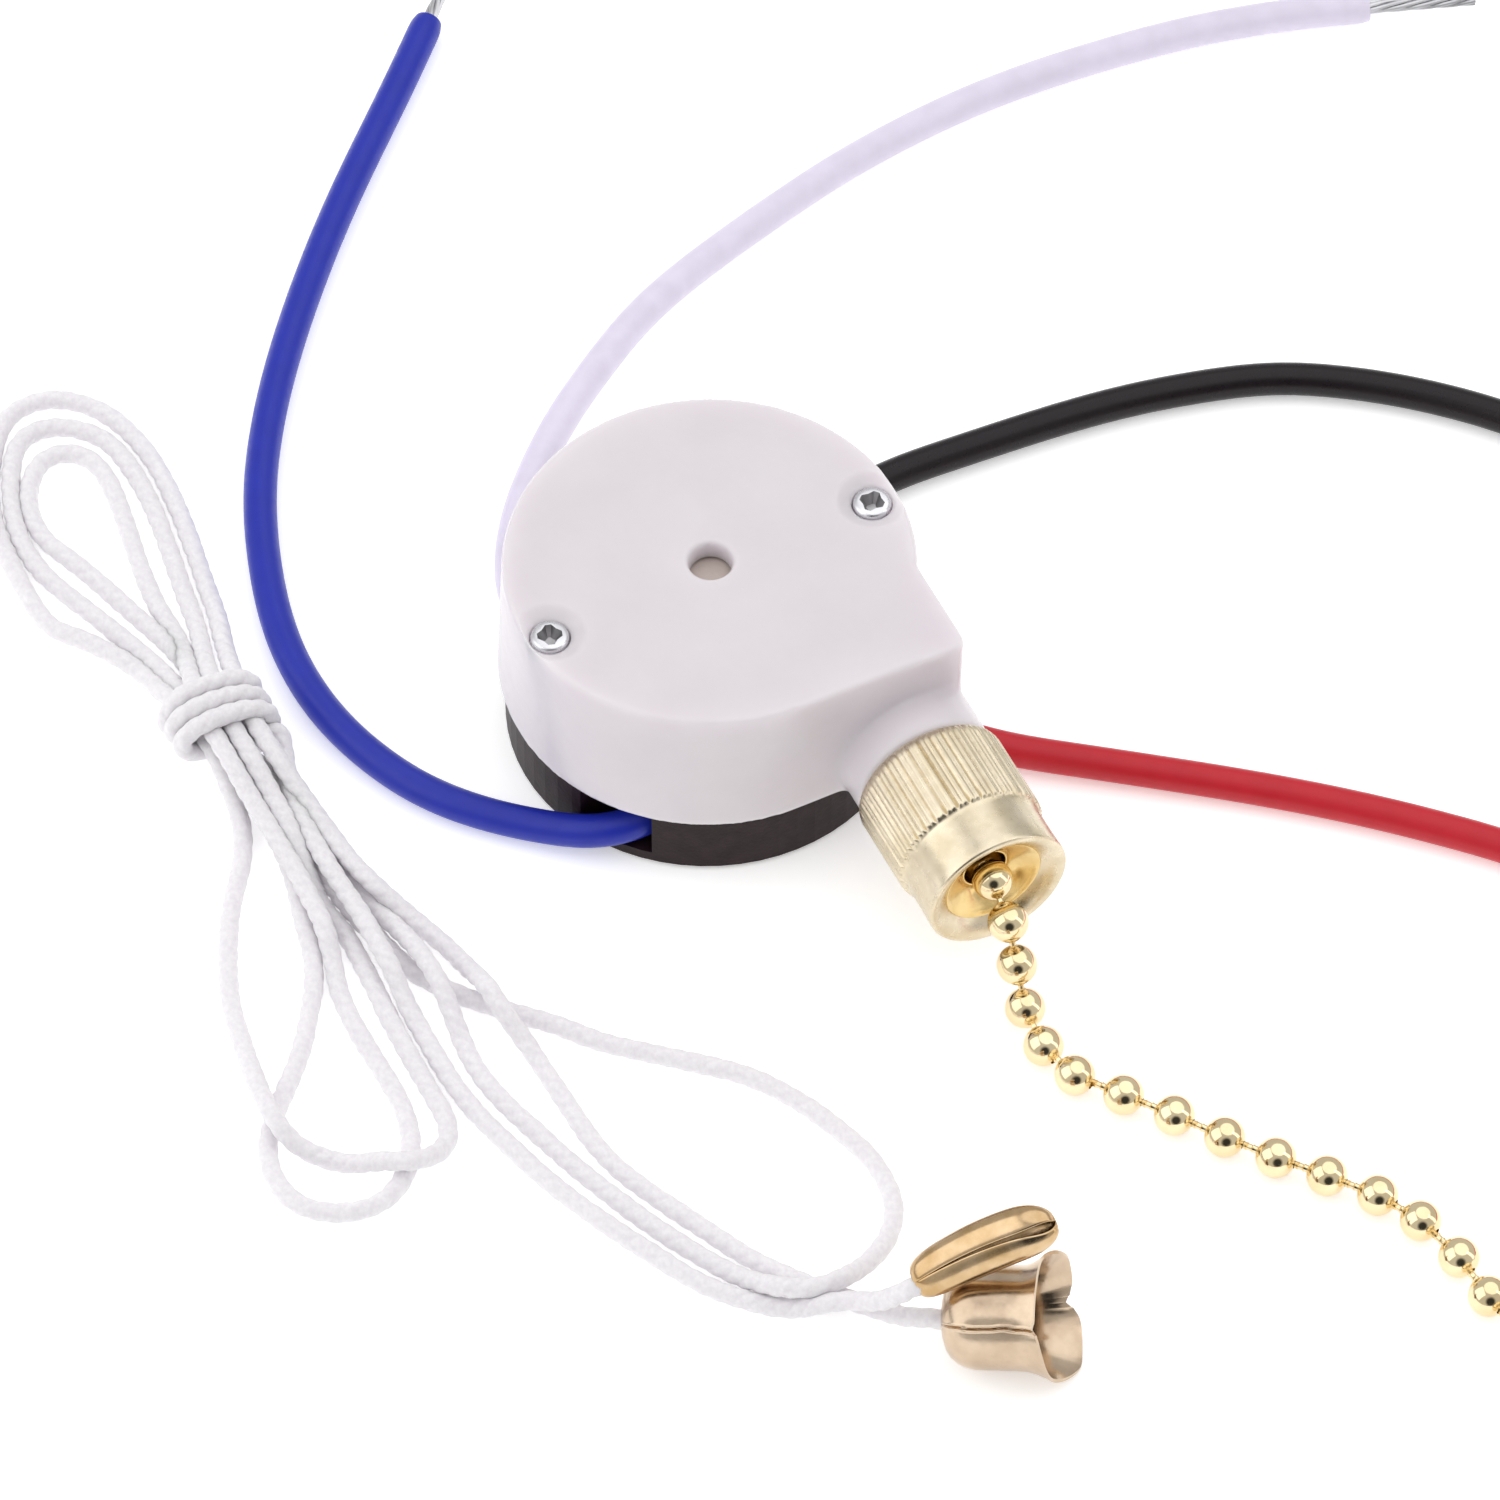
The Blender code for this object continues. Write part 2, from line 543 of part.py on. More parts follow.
def coil_points(radius, low, high, turns, per_turn=12):
    """Return points on a helix about Z."""
    count = round(turns * per_turn)
    points = []
    for i in range(count + 1):
        turn = 2 * math.pi * i / per_turn
        height = low + (high - low) * i / count
        points.append((radius * math.cos(turn), radius * math.sin(turn), height))
    return points


def make_springs(finish, drum_parent, rotor_parent):
    """Return spring round the drum's hub, and the contact spring inside the rotor."""
    tube("return_spring", coil_points(4.2, 12.95, 16.6, 4), 0.35, finish, drum_parent)
    tube("contact_spring", coil_points(2.6, 3.8, 5.0, 2), 0.25, finish, rotor_parent)


def make_pawl(finish, parent):
    """C-shaped leaf in the drum whose two ends spring over the ratchet teeth."""
    outer, inner, tip = 5.8, 5.3, 4.6
    sweep = 300
    points = []
    for i in range(25):
        turn = math.radians(sweep * i / 24)
        points.append((outer * math.cos(turn), outer * math.sin(turn)))
    for radius, past in ((tip + 0.5, 22), (tip, 20)):
        turn = math.radians(sweep + past)
        points.append((radius * math.cos(turn), radius * math.sin(turn)))
    for i in range(25):
        turn = math.radians(sweep * (24 - i) / 24)
        points.append((inner * math.cos(turn), inner * math.sin(turn)))
    for radius, past in ((tip, -20), (tip + 0.5, -22)):
        turn = math.radians(past)
        points.append((radius * math.cos(turn), radius * math.sin(turn)))
    add_piece("ratchet_pawl", close_mesh("ratchet_pawl", prism(points, 8.0, 9.4)), finish, parent)


def make_rotor(finish, parent):
    """Contact rotor with an eight-tooth ratchet wheel on top."""
    profile = ((0, 7.1), (6.9, 7.1), (6.9, 3.6), (3.4, 3.6), (3.4, 5.4), (0, 5.4))
    rotor = add_piece("contact_rotor", close_mesh("contact_rotor", turned(profile, 40)), finish, parent)
    teeth = []
    for i in range(8):
        for radius, share in ((4.2, 0.0), (3.3, 0.08), (3.7, 0.55)):
            turn = 2 * math.pi * (i + share) / 8
            teeth.append((radius * math.cos(turn), radius * math.sin(turn)))
    combine(rotor, cutter("ratchet_wheel", prism(teeth, 6.0, 9.5)), "UNION")
    combine(rotor, cutter("rotor_bore", prism(circle_points(1.4, 24), 2.0, 11.0)), "DIFFERENCE")
    rotor.modifiers[-1].object.parent = parent
    rotor.modifiers[-1].object.location = -parent.location
    rotor.modifiers[-2].object.parent = parent
    rotor.modifiers[-2].object.location = -parent.location


def make_contact_plate(finish, parent):
    """Three-lobed copper plate that bridges the fixed contacts."""
    outline = []
    for i in range(60):
        turn = 2 * math.pi * i / 60
        reach = 4.2 + 2.6 * max(0.0, math.cos(3 * turn)) ** 0.7
        outline.append((reach * math.cos(turn), reach * math.sin(turn)))
    plate = add_piece("contact_plate", close_mesh("contact_plate", prism(outline, 2.8, 3.3)), finish, parent)
    hole = cutter("plate_hole", prism(circle_points(2.0, 24), 2.0, 4.0))
    hole.parent = parent
    hole.location = -parent.location
    combine(plate, hole, "DIFFERENCE")


def make_terminals(contact_finish, clamp_finish, conductor_finish):
    """One fixed contact, one leaf clamp and one stripped wire end for each wire."""
    blade = ((4.4, -2.0), (3.9, -3.0), (7.4, -4.6), (8.6, -6.2), (10.9, -6.2), (10.9, -3.4), (8.6, -3.4))
    leaf = ((3.6, 5.7), (6.5, 5.7), (6.5, 5.3), (4.6, 5.3), (6.0, 4.5), (5.7, 4.15), (3.6, 5.2))
    for name, place in WIRE_PLACES.items():
        mesh = close_mesh("fixed_contact", prism(blade, 1.9, 2.45), place)
        add_piece(f"fixed_contact_{name}", mesh, contact_finish)
        rings = [[(x, -y, z) for y, z in leaf] for x in (8.7, 10.7)]
        add_piece(f"wire_clamp_{name}", close_mesh("wire_clamp", skin_rings(rings), place), clamp_finish)
        ends = [place @ Vector((WIRE_X, -y, WIRE_Z)) for y in (WIRE_START_Y - SEAM, 3.8)]
        tube(f"inner_conductor_{name}", ends, CONDUCTOR_RADIUS, conductor_finish)


def make_wires(finishes, conductor_finish):
    """Four insulated wires and their stripped outer ends."""
    for name, route in WIRE_ROUTES.items():
        points = smooth_route(route, 5.5)
        tube(f"wire_{name}", points, WIRE_RADIUS, finishes[name])
        ahead = (points[-1] - points[-2]).normalized()
        start = points[-1] + ahead * SEAM
        tube(f"stripped_end_{name}", [start, start + ahead * STRIPPED_LENGTH], CONDUCTOR_RADIUS,
             conductor_finish)


def flat_band(centres, sides=12):
    """Return rings for a lying band given as (x, y, width, height) along its middle line."""
    middles = [Vector((x, y, 0)) for x, y, _, _ in centres]
    rings = []
    for (_, _, half, height), ahead, middle in zip(centres, chain_directions(middles), middles):
        side = ahead.normalized().cross(Vector((0, 0, 1)))
        ring = []
        for i in range(sides):
            turn = 2 * math.pi * (i + 0.5) / sides
            across = math.copysign(abs(math.cos(turn)) ** 0.7, math.cos(turn)) * half
            up = height / 2 * (1 + math.copysign(abs(math.sin(turn)) ** 0.7, math.sin(turn)))
            ring.append(middle + side * across + Vector((0, 0, up + 0.02)))
        rings.append(ring)
    return rings


def make_cord(finish):
    """Loose hank of pull cord: plain bands where it is bunched and tubes along its loops."""
    loops = [(x, y, half, 2 * CORD_RADIUS) for x, y, half in UPPER_LOOPS]
    add_piece("cord_upper_loops", close_mesh("cord_upper_loops", skin_rings(flat_band(loops))), finish)
    bundle = skin_rings(flat_band(TIED_BUNDLE))
    add_piece("cord_tied_bundle", close_mesh("cord_tied_bundle", bundle), finish)
    for name, route in CORD_ROUTES.items():
        tube(name, smooth_route(route, 3.4), CORD_TUBE_RADIUS, finish)


def pointing(place, turn, tilt):
    """Return the matrix that stands a Z-axis shape at a place, turned and tilted from level."""
    heading = Matrix.Rotation(math.radians(turn), 4, "Z")
    return Matrix.Translation(place) @ heading @ Matrix.Rotation(math.radians(90 - tilt), 4, "Y")


def make_bell(finish):
    """Bell-shaped pull lying on its side, open at its flared mouth."""
    outer = ((0.9, 0.0), (2.3, 0.25), (3.4, 1.0), (4.1, 2.3), (4.25, 6.2), (4.6, 7.8), (5.5, BELL_LENGTH))
    profile = list(outer) + [(5.1, BELL_LENGTH)]
    profile += [(radius - 0.4, height) for radius, height in outer[-2:2:-1]]
    profile += [(3.1, 1.3), (2.1, 0.65), (0.9, 0.5)]
    mesh = close_mesh("bell_pull", turned(profile, 32), pointing(BELL_END, BELL_TURN, BELL_TILT))
    add_piece("bell_pull", mesh, finish)


def make_coupling(finish):
    """Pod-shaped folded coupling, open at its blunt end."""
    length = COUPLING_LENGTH
    profile = (
        (0.5, 0.0), (1.2, 1.2), (1.7, 4.0), (1.85, 7.5), (1.7, 10.5), (1.2, length),
        (0.85, length - 0.1), (1.3, 10.4), (1.45, 7.5), (1.3, 4.0), (0.8, 1.5), (0.15, 0.5), (0.15, 0.0),
    )
    stand = pointing(COUPLING_END, COUPLING_TURN, COUPLING_TILT)
    add_piece("chain_coupling", close_mesh("chain_coupling", turned(profile), stand), finish)


WIRE_PLACES = {
    "blue": Matrix.Identity(4),
    "white": Matrix.Rotation(math.radians(-90), 4, "Z"),
    "black": Matrix.Rotation(math.radians(180), 4, "Z"),
    "red": Matrix.Scale(-1, 4, (0, 1, 0)),
}
WIRE_ROUTES = {
    "blue": BLUE_ROUTE,
    "white": WHITE_ROUTE,
    "black": BLACK_ROUTE,
    "red": RED_ROUTE,
}
CORD_ROUTES = {
    "cord_run_to_bell": RUN_TO_BELL,
    "cord_run_to_coupling": RUN_TO_COUPLING,
    "cord_long_loop": LONG_LOOP,
    "cord_outer_loop": OUTER_LOOP,
    "cord_inner_loop": INNER_LOOP,
}


def build():
    clear_scene()
    nylon = surface("white_nylon", (0.78, 0.74, 0.78), 0.42, 0.0)
    dark = surface("black_moulding", (0.035, 0.025, 0.027), 0.45, 0.0)
    zinc = surface("zinc_steel", (0.72, 0.72, 0.74), 0.28, 1.0)
    brass = surface("polished_brass", (0.83, 0.68, 0.36), 0.2, 1.0)
    satin_brass = surface("satin_brass", (0.72, 0.55, 0.34), 0.35, 1.0)
    beige = surface("beige_nylon", (0.62, 0.52, 0.42), 0.5, 0.0)
    copper = surface("contact_copper", (0.72, 0.43, 0.28), 0.35, 1.0)
    tinned = surface("tinned_copper", (0.55, 0.55, 0.56), 0.4, 1.0)
    cotton = surface("white_cord", (0.86, 0.84, 0.87), 0.85, 0.0)
    insulation = {
        "blue": surface("blue_insulation", (0.03, 0.05, 0.45), 0.35, 0.0),
        "white": surface("white_insulation", (0.75, 0.68, 0.84), 0.35, 0.0),
        "black": surface("black_insulation", (0.02, 0.015, 0.02), 0.35, 0.0),
        "red": surface("red_insulation", (0.55, 0.03, 0.05), 0.35, 0.0),
    }
    drum_axis = pivot("drum_axis", (0, 0, 0))
    rotor_axis = pivot("rotor_axis", (0, 0, 0))
    chain_line = pivot("chain_line", (0, NECK_Y, NECK_Z))
    nut_axis = pivot("nut_axis", (NUT_START, NECK_Y, NECK_Z))
    make_cap(nylon)
    make_base(dark)
    make_screws(zinc)
    make_nut(brass, nut_axis)
    make_bush(brass)
    make_axle(zinc)
    make_drum(beige, drum_axis)
    make_chain(brass, chain_line, drum_axis)
    make_springs(zinc, drum_axis, rotor_axis)
    make_pawl(zinc, drum_axis)
    make_rotor(beige, rotor_axis)
    make_contact_plate(copper, rotor_axis)
    make_terminals(brass, zinc, tinned)
    make_wires(insulation, tinned)
    make_cord(cotton)
    make_bell(satin_brass)
    make_coupling(satin_brass)


build()
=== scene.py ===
"""Looks for the pull cord switch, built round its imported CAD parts."""
import math

import bmesh
import bpy
import numpy as np
from mathutils import Matrix, Vector


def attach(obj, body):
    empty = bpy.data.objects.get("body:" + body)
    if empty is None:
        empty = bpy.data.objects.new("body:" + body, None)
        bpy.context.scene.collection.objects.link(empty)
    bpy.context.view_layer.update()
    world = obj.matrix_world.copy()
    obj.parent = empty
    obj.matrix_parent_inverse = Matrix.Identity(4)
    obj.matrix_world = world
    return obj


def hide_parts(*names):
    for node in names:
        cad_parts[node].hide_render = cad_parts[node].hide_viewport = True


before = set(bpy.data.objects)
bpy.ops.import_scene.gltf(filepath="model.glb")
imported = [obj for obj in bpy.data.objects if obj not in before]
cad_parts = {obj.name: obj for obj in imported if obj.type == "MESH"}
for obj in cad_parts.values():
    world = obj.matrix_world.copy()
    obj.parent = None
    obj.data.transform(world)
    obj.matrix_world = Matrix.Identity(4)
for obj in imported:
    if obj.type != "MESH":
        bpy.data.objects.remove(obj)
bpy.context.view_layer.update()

MM = 0.001

# Shared sizes, in millimetres
NECK_Y = 9.2
NECK_Z = 9.3
BODY_HEIGHT = 19.0
CAP_LOW = 6.2
CAP_RADIUS = 16.52
CAP_TOP_RADIUS = 16.15
CAP_TOP_SHIFT = (0.05, 0.24)
CAP_CORNER = (16.4, 14.22)
CAP_CORNER_ROUNDING = 1.0
CAP_HOLLOW_RADIUS = 14.6
CAP_ROOF = 1.6
CAP_VOXEL = 0.2
CAP_SMOOTHING = 36
HUB_PLACE = (0.3, 0.2)
SCREW_PLACES = ((0.4, 14.2), (1.15, -14.05))
# Screw recess faces inside this radius and between these heights get a darker zinc: painted shade.
PAINTED_SHADE_RADIUS = 1.2
PAINTED_SHADE_HEIGHTS = (17.7, 18.69)
BEAD_RADIUS = 1.6
BEAD_PITCH = 4.2
INNER_BEADS = 7
WIRE_RADIUS = 1.35
WIRE_EASING = 90
STRIPPED_LENGTH = 9.0
STRAND_RADIUS = 0.2
STRAND_RING_RADIUS = 0.38
CORD_RADIUS = 0.8
CORD_EASING = 6
CORD_LOBES = 3
CORD_LOBE_RADIUS = 0.64
CORD_TWIST_PITCH = 4.2
BELL_PLACE = (62.0, -10.45, 3.45)
COUPLING_PLACE = (60.8, -12.55, 7.8)

CHAIN_ROUTE = (
    (31.1, 9.2, 9.3), (34.4, 8.9, 8.0), (36.4, 8.7, 5.0), (38.5, 8.4, 2.1), (42.0, 8.2, 1.6),
    (45.5, 9.1, 1.6), (48.8, 11.6, 1.6), (52.2, 14.2, 1.6), (55.7, 16.7, 1.6), (59.1, 19.3, 1.6),
    (62.3, 22.0, 1.6), (65.6, 24.6, 1.6), (69.1, 26.4, 1.6), (73.3, 27.4, 1.6), (77.4, 27.7, 1.6),
    (81.6, 28.2, 1.6), (85.6, 29.5, 1.6), (89.0, 31.9, 1.6), (91.4, 35.3, 1.6), (92.5, 39.4, 1.6),
)
WIRE_ROUTES = {
    "blue": (
        (9.8, -8.6, 3.3), (10.3, -10.4, 3.2), (10.0, -12.3, 3.1), (9.1, -14.3, 2.4),
        (6.2, -17.0, 1.6), (3.7, -19.9, 1.4), (0.5, -22.8, 1.4), (-3.5, -25.3, 1.4),
        (-11.5, -27.8, 1.4), (-20.8, -27.7, 1.4), (-31.8, -24.4, 1.4), (-40.0, -20.1, 1.4),
        (-48.7, -13.8, 1.4), (-58.5, -5.2, 1.4), (-68.8, 5.2, 1.4), (-74.0, 10.3, 1.4),
    ),
    "white": (
        (-8.6, -9.8, 3.3), (-10.4, -10.1, 3.2), (-12.3, -10.1, 3.1), (-14.6, -9.9, 2.2),
        (-17.2, -9.2, 1.5), (-20.4, -7.5, 1.4), (-24.1, -4.9, 1.4), (-29.8, 0.9, 1.4),
        (-33.0, 5.2, 1.4), (-38.5, 14.3, 1.4), (-43.4, 29.8, 1.4), (-45.4, 39.6, 1.4),
        (-46.2, 49.1, 1.4), (-45.8, 58.5, 1.4), (-44.7, 67.5, 1.4), (-42.6, 76.0, 1.4),
        (-40.6, 81.6, 1.4),
    ),
    "black": (
        (-9.8, 8.6, 3.3), (-10.0, 10.6, 3.2), (-10.4, 12.6, 3.1), (-11.3, 15.2, 2.2),
        (-12.9, 18.8, 1.5), (-13.6, 22.9, 1.4), (-13.3, 28.2, 1.4), (-13.0, 33.6, 1.4),
        (-12.5, 39.7, 1.4), (-11.6, 45.7, 1.4), (-9.5, 53.8, 1.4), (-7.8, 57.5, 1.4),
        (-4.2, 62.8, 1.4), (-0.3, 67.2, 1.4), (4.5, 71.5, 1.4), (11.0, 75.2, 1.4),
        (18.5, 77.0, 1.4), (26.0, 76.5, 1.4), (33.0, 74.0, 1.4),
    ),
    "red": (
        (9.8, 8.6, 3.3), (9.9, 10.6, 3.2), (10.2, 12.5, 3.1), (11.6, 14.7, 2.3),
        (13.7, 17.0, 1.5), (15.8, 19.5, 1.4), (18.3, 22.9, 1.4), (22.3, 28.2, 1.4),
        (27.0, 34.3, 1.4), (32.1, 40.4, 1.4), (37.7, 46.3, 1.4), (43.5, 51.6, 1.4),
        (50.5, 55.6, 1.4), (58.5, 57.4, 1.4), (66.5, 56.6, 1.4), (73.5, 53.2, 1.4),
        (79.0, 48.2, 1.4),
    ),
}

# The pull cord from the bell to the coupling. Z is the middle of the cord.
BELL_TO_TIE = (
    (64.0, -8.8, 3.8), (62.7, -10.2, 3.6), (61.4, -11.4, 3.1), (59.8, -12.9, 2.1),
    (57.7, -14.2, 1.2), (55.9, -15.4, 0.8), (54.3, -16.7, 0.8), (52.7, -18.1, 0.8),
    (49.2, -20.5, 0.8), (44.9, -22.6, 0.8), (40.4, -24.7, 0.8), (37.0, -26.0, 0.8),
    (33.8, -26.6, 0.8), (30.2, -26.8, 0.8), (26.6, -27.0, 0.8), (23.7, -27.3, 1.3),
    (21.3, -27.9, 2.4), (19.0, -28.1, 2.9), (17.0, -28.2, 2.1), (15.0, -28.3, 1.1),
    (12.4, -28.8, 0.8), (10.0, -29.7, 0.9), (7.9, -30.7, 1.6), (5.8, -31.7, 2.4),
    (3.1, -32.4, 2.5), (-0.2, -32.8, 2.6), (-4.4, -33.3, 3.0), (-8.0, -33.8, 4.0),
    (-11.8, -34.0, 4.3), (-16.4, -33.4, 3.6), (-20.8, -32.4, 1.8),
)
OUTER_BIGHT = (
    (-25.0, -31.3, 0.9), (-27.8, -30.9, 0.8), (-32.0, -30.2, 0.8), (-36.7, -29.6, 0.8),
    (-41.4, -29.4, 0.8), (-45.1, -29.9, 0.8), (-47.9, -30.9, 0.8), (-49.9, -32.4, 0.8),
    (-51.1, -34.1, 0.8), (-51.5, -36.2, 0.8), (-50.8, -38.4, 0.8), (-48.5, -40.4, 0.8),
    (-45.2, -42.2, 0.8), (-41.7, -43.4, 0.8), (-38.2, -43.9, 0.8), (-35.0, -44.0, 0.8),
    (-32.1, -44.0, 0.8), (-29.6, -43.6, 0.8), (-28.0, -42.3, 0.8), (-25.7, -40.7, 0.8),
    (-23.0, -39.3, 0.8), (-19.6, -38.7, 1.6), (-16.0, -38.0, 2.6), (-11.8, -37.6, 2.6),
    (-8.6, -37.7, 1.6),
)
OUTER_LOOP = (
    (-5.4, -38.1, 0.9), (-2.2, -39.4, 0.8), (-0.6, -40.5, 0.8), (2.0, -42.3, 0.8),
    (5.4, -44.1, 0.8), (9.8, -45.9, 0.8), (14.6, -46.9, 1.0), (19.2, -47.7, 2.1),
    (22.9, -48.0, 2.8), (24.9, -47.2, 1.6), (26.4, -45.7, 0.8), (28.0, -44.0, 0.9),
    (29.4, -42.3, 2.1), (30.8, -40.6, 2.8), (30.6, -38.3, 1.8), (29.2, -36.4, 0.8),
    (27.3, -35.7, 0.8), (25.4, -35.7, 0.8), (22.9, -35.7, 0.8), (19.7, -35.7, 0.8),
    (16.3, -35.6, 0.8), (13.5, -35.4, 0.8), (10.4, -35.3, 0.8), (7.9, -35.3, 0.8),
    (4.9, -35.8, 0.8), (2.0, -35.7, 1.5), (-1.2, -35.4, 2.6), (-5.3, -35.4, 3.1),
    (-9.0, -35.6, 4.1), (-12.7, -35.7, 4.3), (-17.2, -35.1, 3.4), (-21.4, -34.1, 1.8),
)
MIDDLE_BIGHT = (
    (-24.7, -33.2, 0.9), (-28.3, -32.7, 0.8), (-32.7, -32.0, 0.8), (-37.2, -31.4, 0.8),
    (-41.3, -31.3, 0.8), (-44.8, -31.8, 0.8), (-46.9, -33.1, 0.8), (-48.2, -34.7, 0.8),
    (-48.7, -36.5, 0.8), (-48.2, -38.3, 0.8), (-46.3, -39.8, 0.8), (-43.0, -41.3, 0.8),
    (-39.4, -42.2, 0.8), (-35.9, -42.2, 0.8), (-32.8, -41.4, 0.8), (-29.6, -40.2, 0.8),
    (-26.2, -39.0, 0.8), (-23.1, -38.0, 0.9), (-19.6, -37.4, 1.6), (-15.1, -36.9, 2.6),
    (-11.1, -36.7, 2.6), (-7.7, -36.4, 1.6),
)
INNER_LOOP = (
    (-4.7, -36.1, 0.8), (-1.5, -36.3, 0.8), (1.5, -36.7, 0.8), (4.9, -37.6, 0.8),
    (8.3, -38.3, 0.8), (10.2, -39.0, 0.8), (11.9, -39.8, 0.8), (13.4, -40.8, 0.8),
    (15.1, -41.9, 0.8), (17.2, -43.5, 0.8), (19.3, -45.5, 0.8), (21.4, -47.5, 0.8),
    (23.9, -49.2, 0.8), (26.9, -49.8, 0.8), (29.6, -49.1, 0.8), (31.4, -47.1, 0.8),
    (32.2, -44.4, 0.8), (31.6, -42.0, 0.8), (29.8, -40.0, 0.8), (27.5, -38.8, 0.8),
    (24.6, -38.2, 0.8), (21.5, -38.2, 0.8), (18.5, -38.3, 0.8), (15.6, -38.3, 0.8),
    (12.6, -38.0, 0.9), (10.0, -37.3, 1.4), (7.4, -36.8, 2.2), (4.6, -36.7, 2.3),
    (1.7, -36.6, 2.4), (-1.9, -36.7, 2.6), (-5.6, -37.0, 3.1), (-9.0, -37.2, 4.0),
    (-12.7, -37.3, 4.3), (-17.3, -36.6, 3.4), (-21.3, -35.6, 1.8),
)
INNER_BIGHT = (
    (-24.2, -35.1, 0.9), (-27.5, -35.2, 0.8), (-31.3, -34.9, 0.8), (-35.0, -34.3, 0.8),
    (-38.9, -33.7, 0.8), (-42.4, -33.5, 0.8), (-44.6, -34.2, 0.8), (-45.7, -35.8, 0.8),
    (-45.5, -37.7, 0.8), (-43.5, -39.5, 0.8), (-40.9, -40.5, 0.8), (-38.0, -40.5, 0.8),
    (-35.1, -39.4, 0.8), (-31.8, -38.3, 0.8), (-27.7, -37.1, 0.8), (-24.3, -36.1, 0.9),
    (-20.1, -35.6, 1.6), (-15.5, -35.5, 2.6), (-11.0, -35.3, 2.6), (-7.5, -34.8, 1.6),
)
LONG_LOOP = (
    (-3.6, -34.3, 0.8), (0.3, -34.2, 0.8), (3.8, -34.2, 0.8), (7.1, -33.8, 0.8),
    (10.3, -33.0, 0.8), (13.2, -32.3, 0.8), (15.5, -31.0, 0.8), (17.5, -29.6, 0.8),
    (19.2, -28.1, 0.8), (21.0, -26.4, 0.8), (23.0, -24.4, 0.8), (26.0, -22.0, 0.8),
    (28.7, -19.0, 0.8), (31.3, -16.0, 0.8), (34.1, -13.1, 0.8), (37.9, -10.7, 0.8),
    (42.4, -8.9, 0.8), (45.8, -8.1, 0.8), (49.5, -8.5, 0.8), (52.0, -10.2, 0.8),
    (53.7, -12.9, 1.2), (54.9, -15.6, 2.6), (54.9, -17.9, 2.8), (53.5, -20.0, 2.4),
    (51.2, -21.6, 1.3), (48.4, -23.2, 0.8), (43.3, -25.8, 0.8), (38.1, -27.9, 0.8),
    (34.7, -29.1, 0.8), (31.6, -30.0, 0.8), (28.2, -31.0, 0.8), (24.6, -31.6, 0.8),
    (21.5, -31.5, 0.8), (18.9, -31.3, 1.7), (16.5, -31.2, 2.6), (13.6, -31.3, 2.6),
    (10.4, -31.6, 1.8), (6.7, -32.2, 0.9), (3.3, -32.6, 0.8), (-1.1, -32.8, 0.8),
)
TIE_TO_COUPLING = (
    (-3.0, -34.0, 2.6), (1.2, -34.2, 2.6), (4.7, -34.1, 2.6), (7.9, -33.9, 2.6),
    (10.9, -33.9, 2.6), (13.8, -33.9, 2.4), (16.3, -34.0, 1.4), (18.7, -33.9, 0.8),
    (21.6, -33.9, 0.8), (24.8, -33.8, 0.8), (28.3, -33.3, 0.8), (31.8, -32.4, 0.8),
    (36.2, -31.1, 0.8), (40.9, -29.2, 0.8), (45.3, -27.1, 0.8), (49.5, -24.9, 0.8),
    (52.6, -22.3, 0.8), (54.8, -19.6, 0.9), (56.3, -17.4, 2.3), (57.4, -15.8, 3.0),
    (58.9, -14.6, 4.1), (60.2, -13.7, 6.1), (61.0, -12.9, 7.6), (61.3, -12.0, 8.2),
)
INTO_TIE = (
    (-5.0, -33.6, 1.3), (-8.4, -34.6, 2.3), (-11.8, -36.4, 2.4), (-14.4, -38.2, 1.9),
    (-15.9, -39.9, 2.2),
)
OUT_OF_TIE = (
    (-11.0, -32.6, 3.3), (-9.4, -32.5, 2.5), (-6.4, -33.5, 2.5),
)
TIE_START = -16.0
TIE_END = -11.0
TIE_TURNS = 3
TIE_MIDDLE = (-36.1, 3.3)
TIE_HALF_WIDTH = 3.75
TIE_HALF_HEIGHT = 2.35


# ---------------------------------------------------------------- shared helpers

def smooth_route(points, spacing, passes=0):
    """Return evenly spaced points on a curve near the given ones, eased a number of times."""
    route = np.array(points, float)
    route = np.vstack([2 * route[0] - route[1], route, 2 * route[-1] - route[-2]])
    t = np.linspace(0, 1, 24, endpoint=False)[:, None]
    fine = []
    for a, b, c, d in zip(route, route[1:], route[2:], route[3:]):
        fine.append(0.5 * (2 * b + (c - a) * t + (2 * a - 5 * b + 4 * c - d) * t ** 2
                           + (3 * b - a - 3 * c + d) * t ** 3))
    fine = np.vstack(fine + [route[-2:-1]])
    for step in (0.4, spacing):
        along = np.concatenate([[0], np.cumsum(np.linalg.norm(np.diff(fine, axis=0), axis=1))])
        wanted = np.linspace(0, along[-1], max(2, int(round(along[-1] / step))) + 1)
        fine = np.stack([np.interp(wanted, along, fine[:, i]) for i in range(3)], axis=1)
        if step == 0.4:
            for _ in range(passes):
                fine[1:-1] = 0.5 * fine[1:-1] + 0.25 * (fine[:-2] + fine[2:])
    return fine


def frames_along(points):
    """Return the side and upper directions at each point, turning as little as they can."""
    points = np.asarray(points, float)
    tangents = np.gradient(points, axis=0)
    tangents /= np.linalg.norm(tangents, axis=1)[:, None]
    side = np.cross(tangents[0], (0, 0, 1))
    if np.linalg.norm(side) < 0.1:
        side = np.array((1.0, 0, 0))
    sides = []
    for tangent in tangents:
        side = side - tangent * (side @ tangent)
        side = side / np.linalg.norm(side)
        sides.append(side)
    sides = np.array(sides)
    return sides, np.cross(sides, tangents)


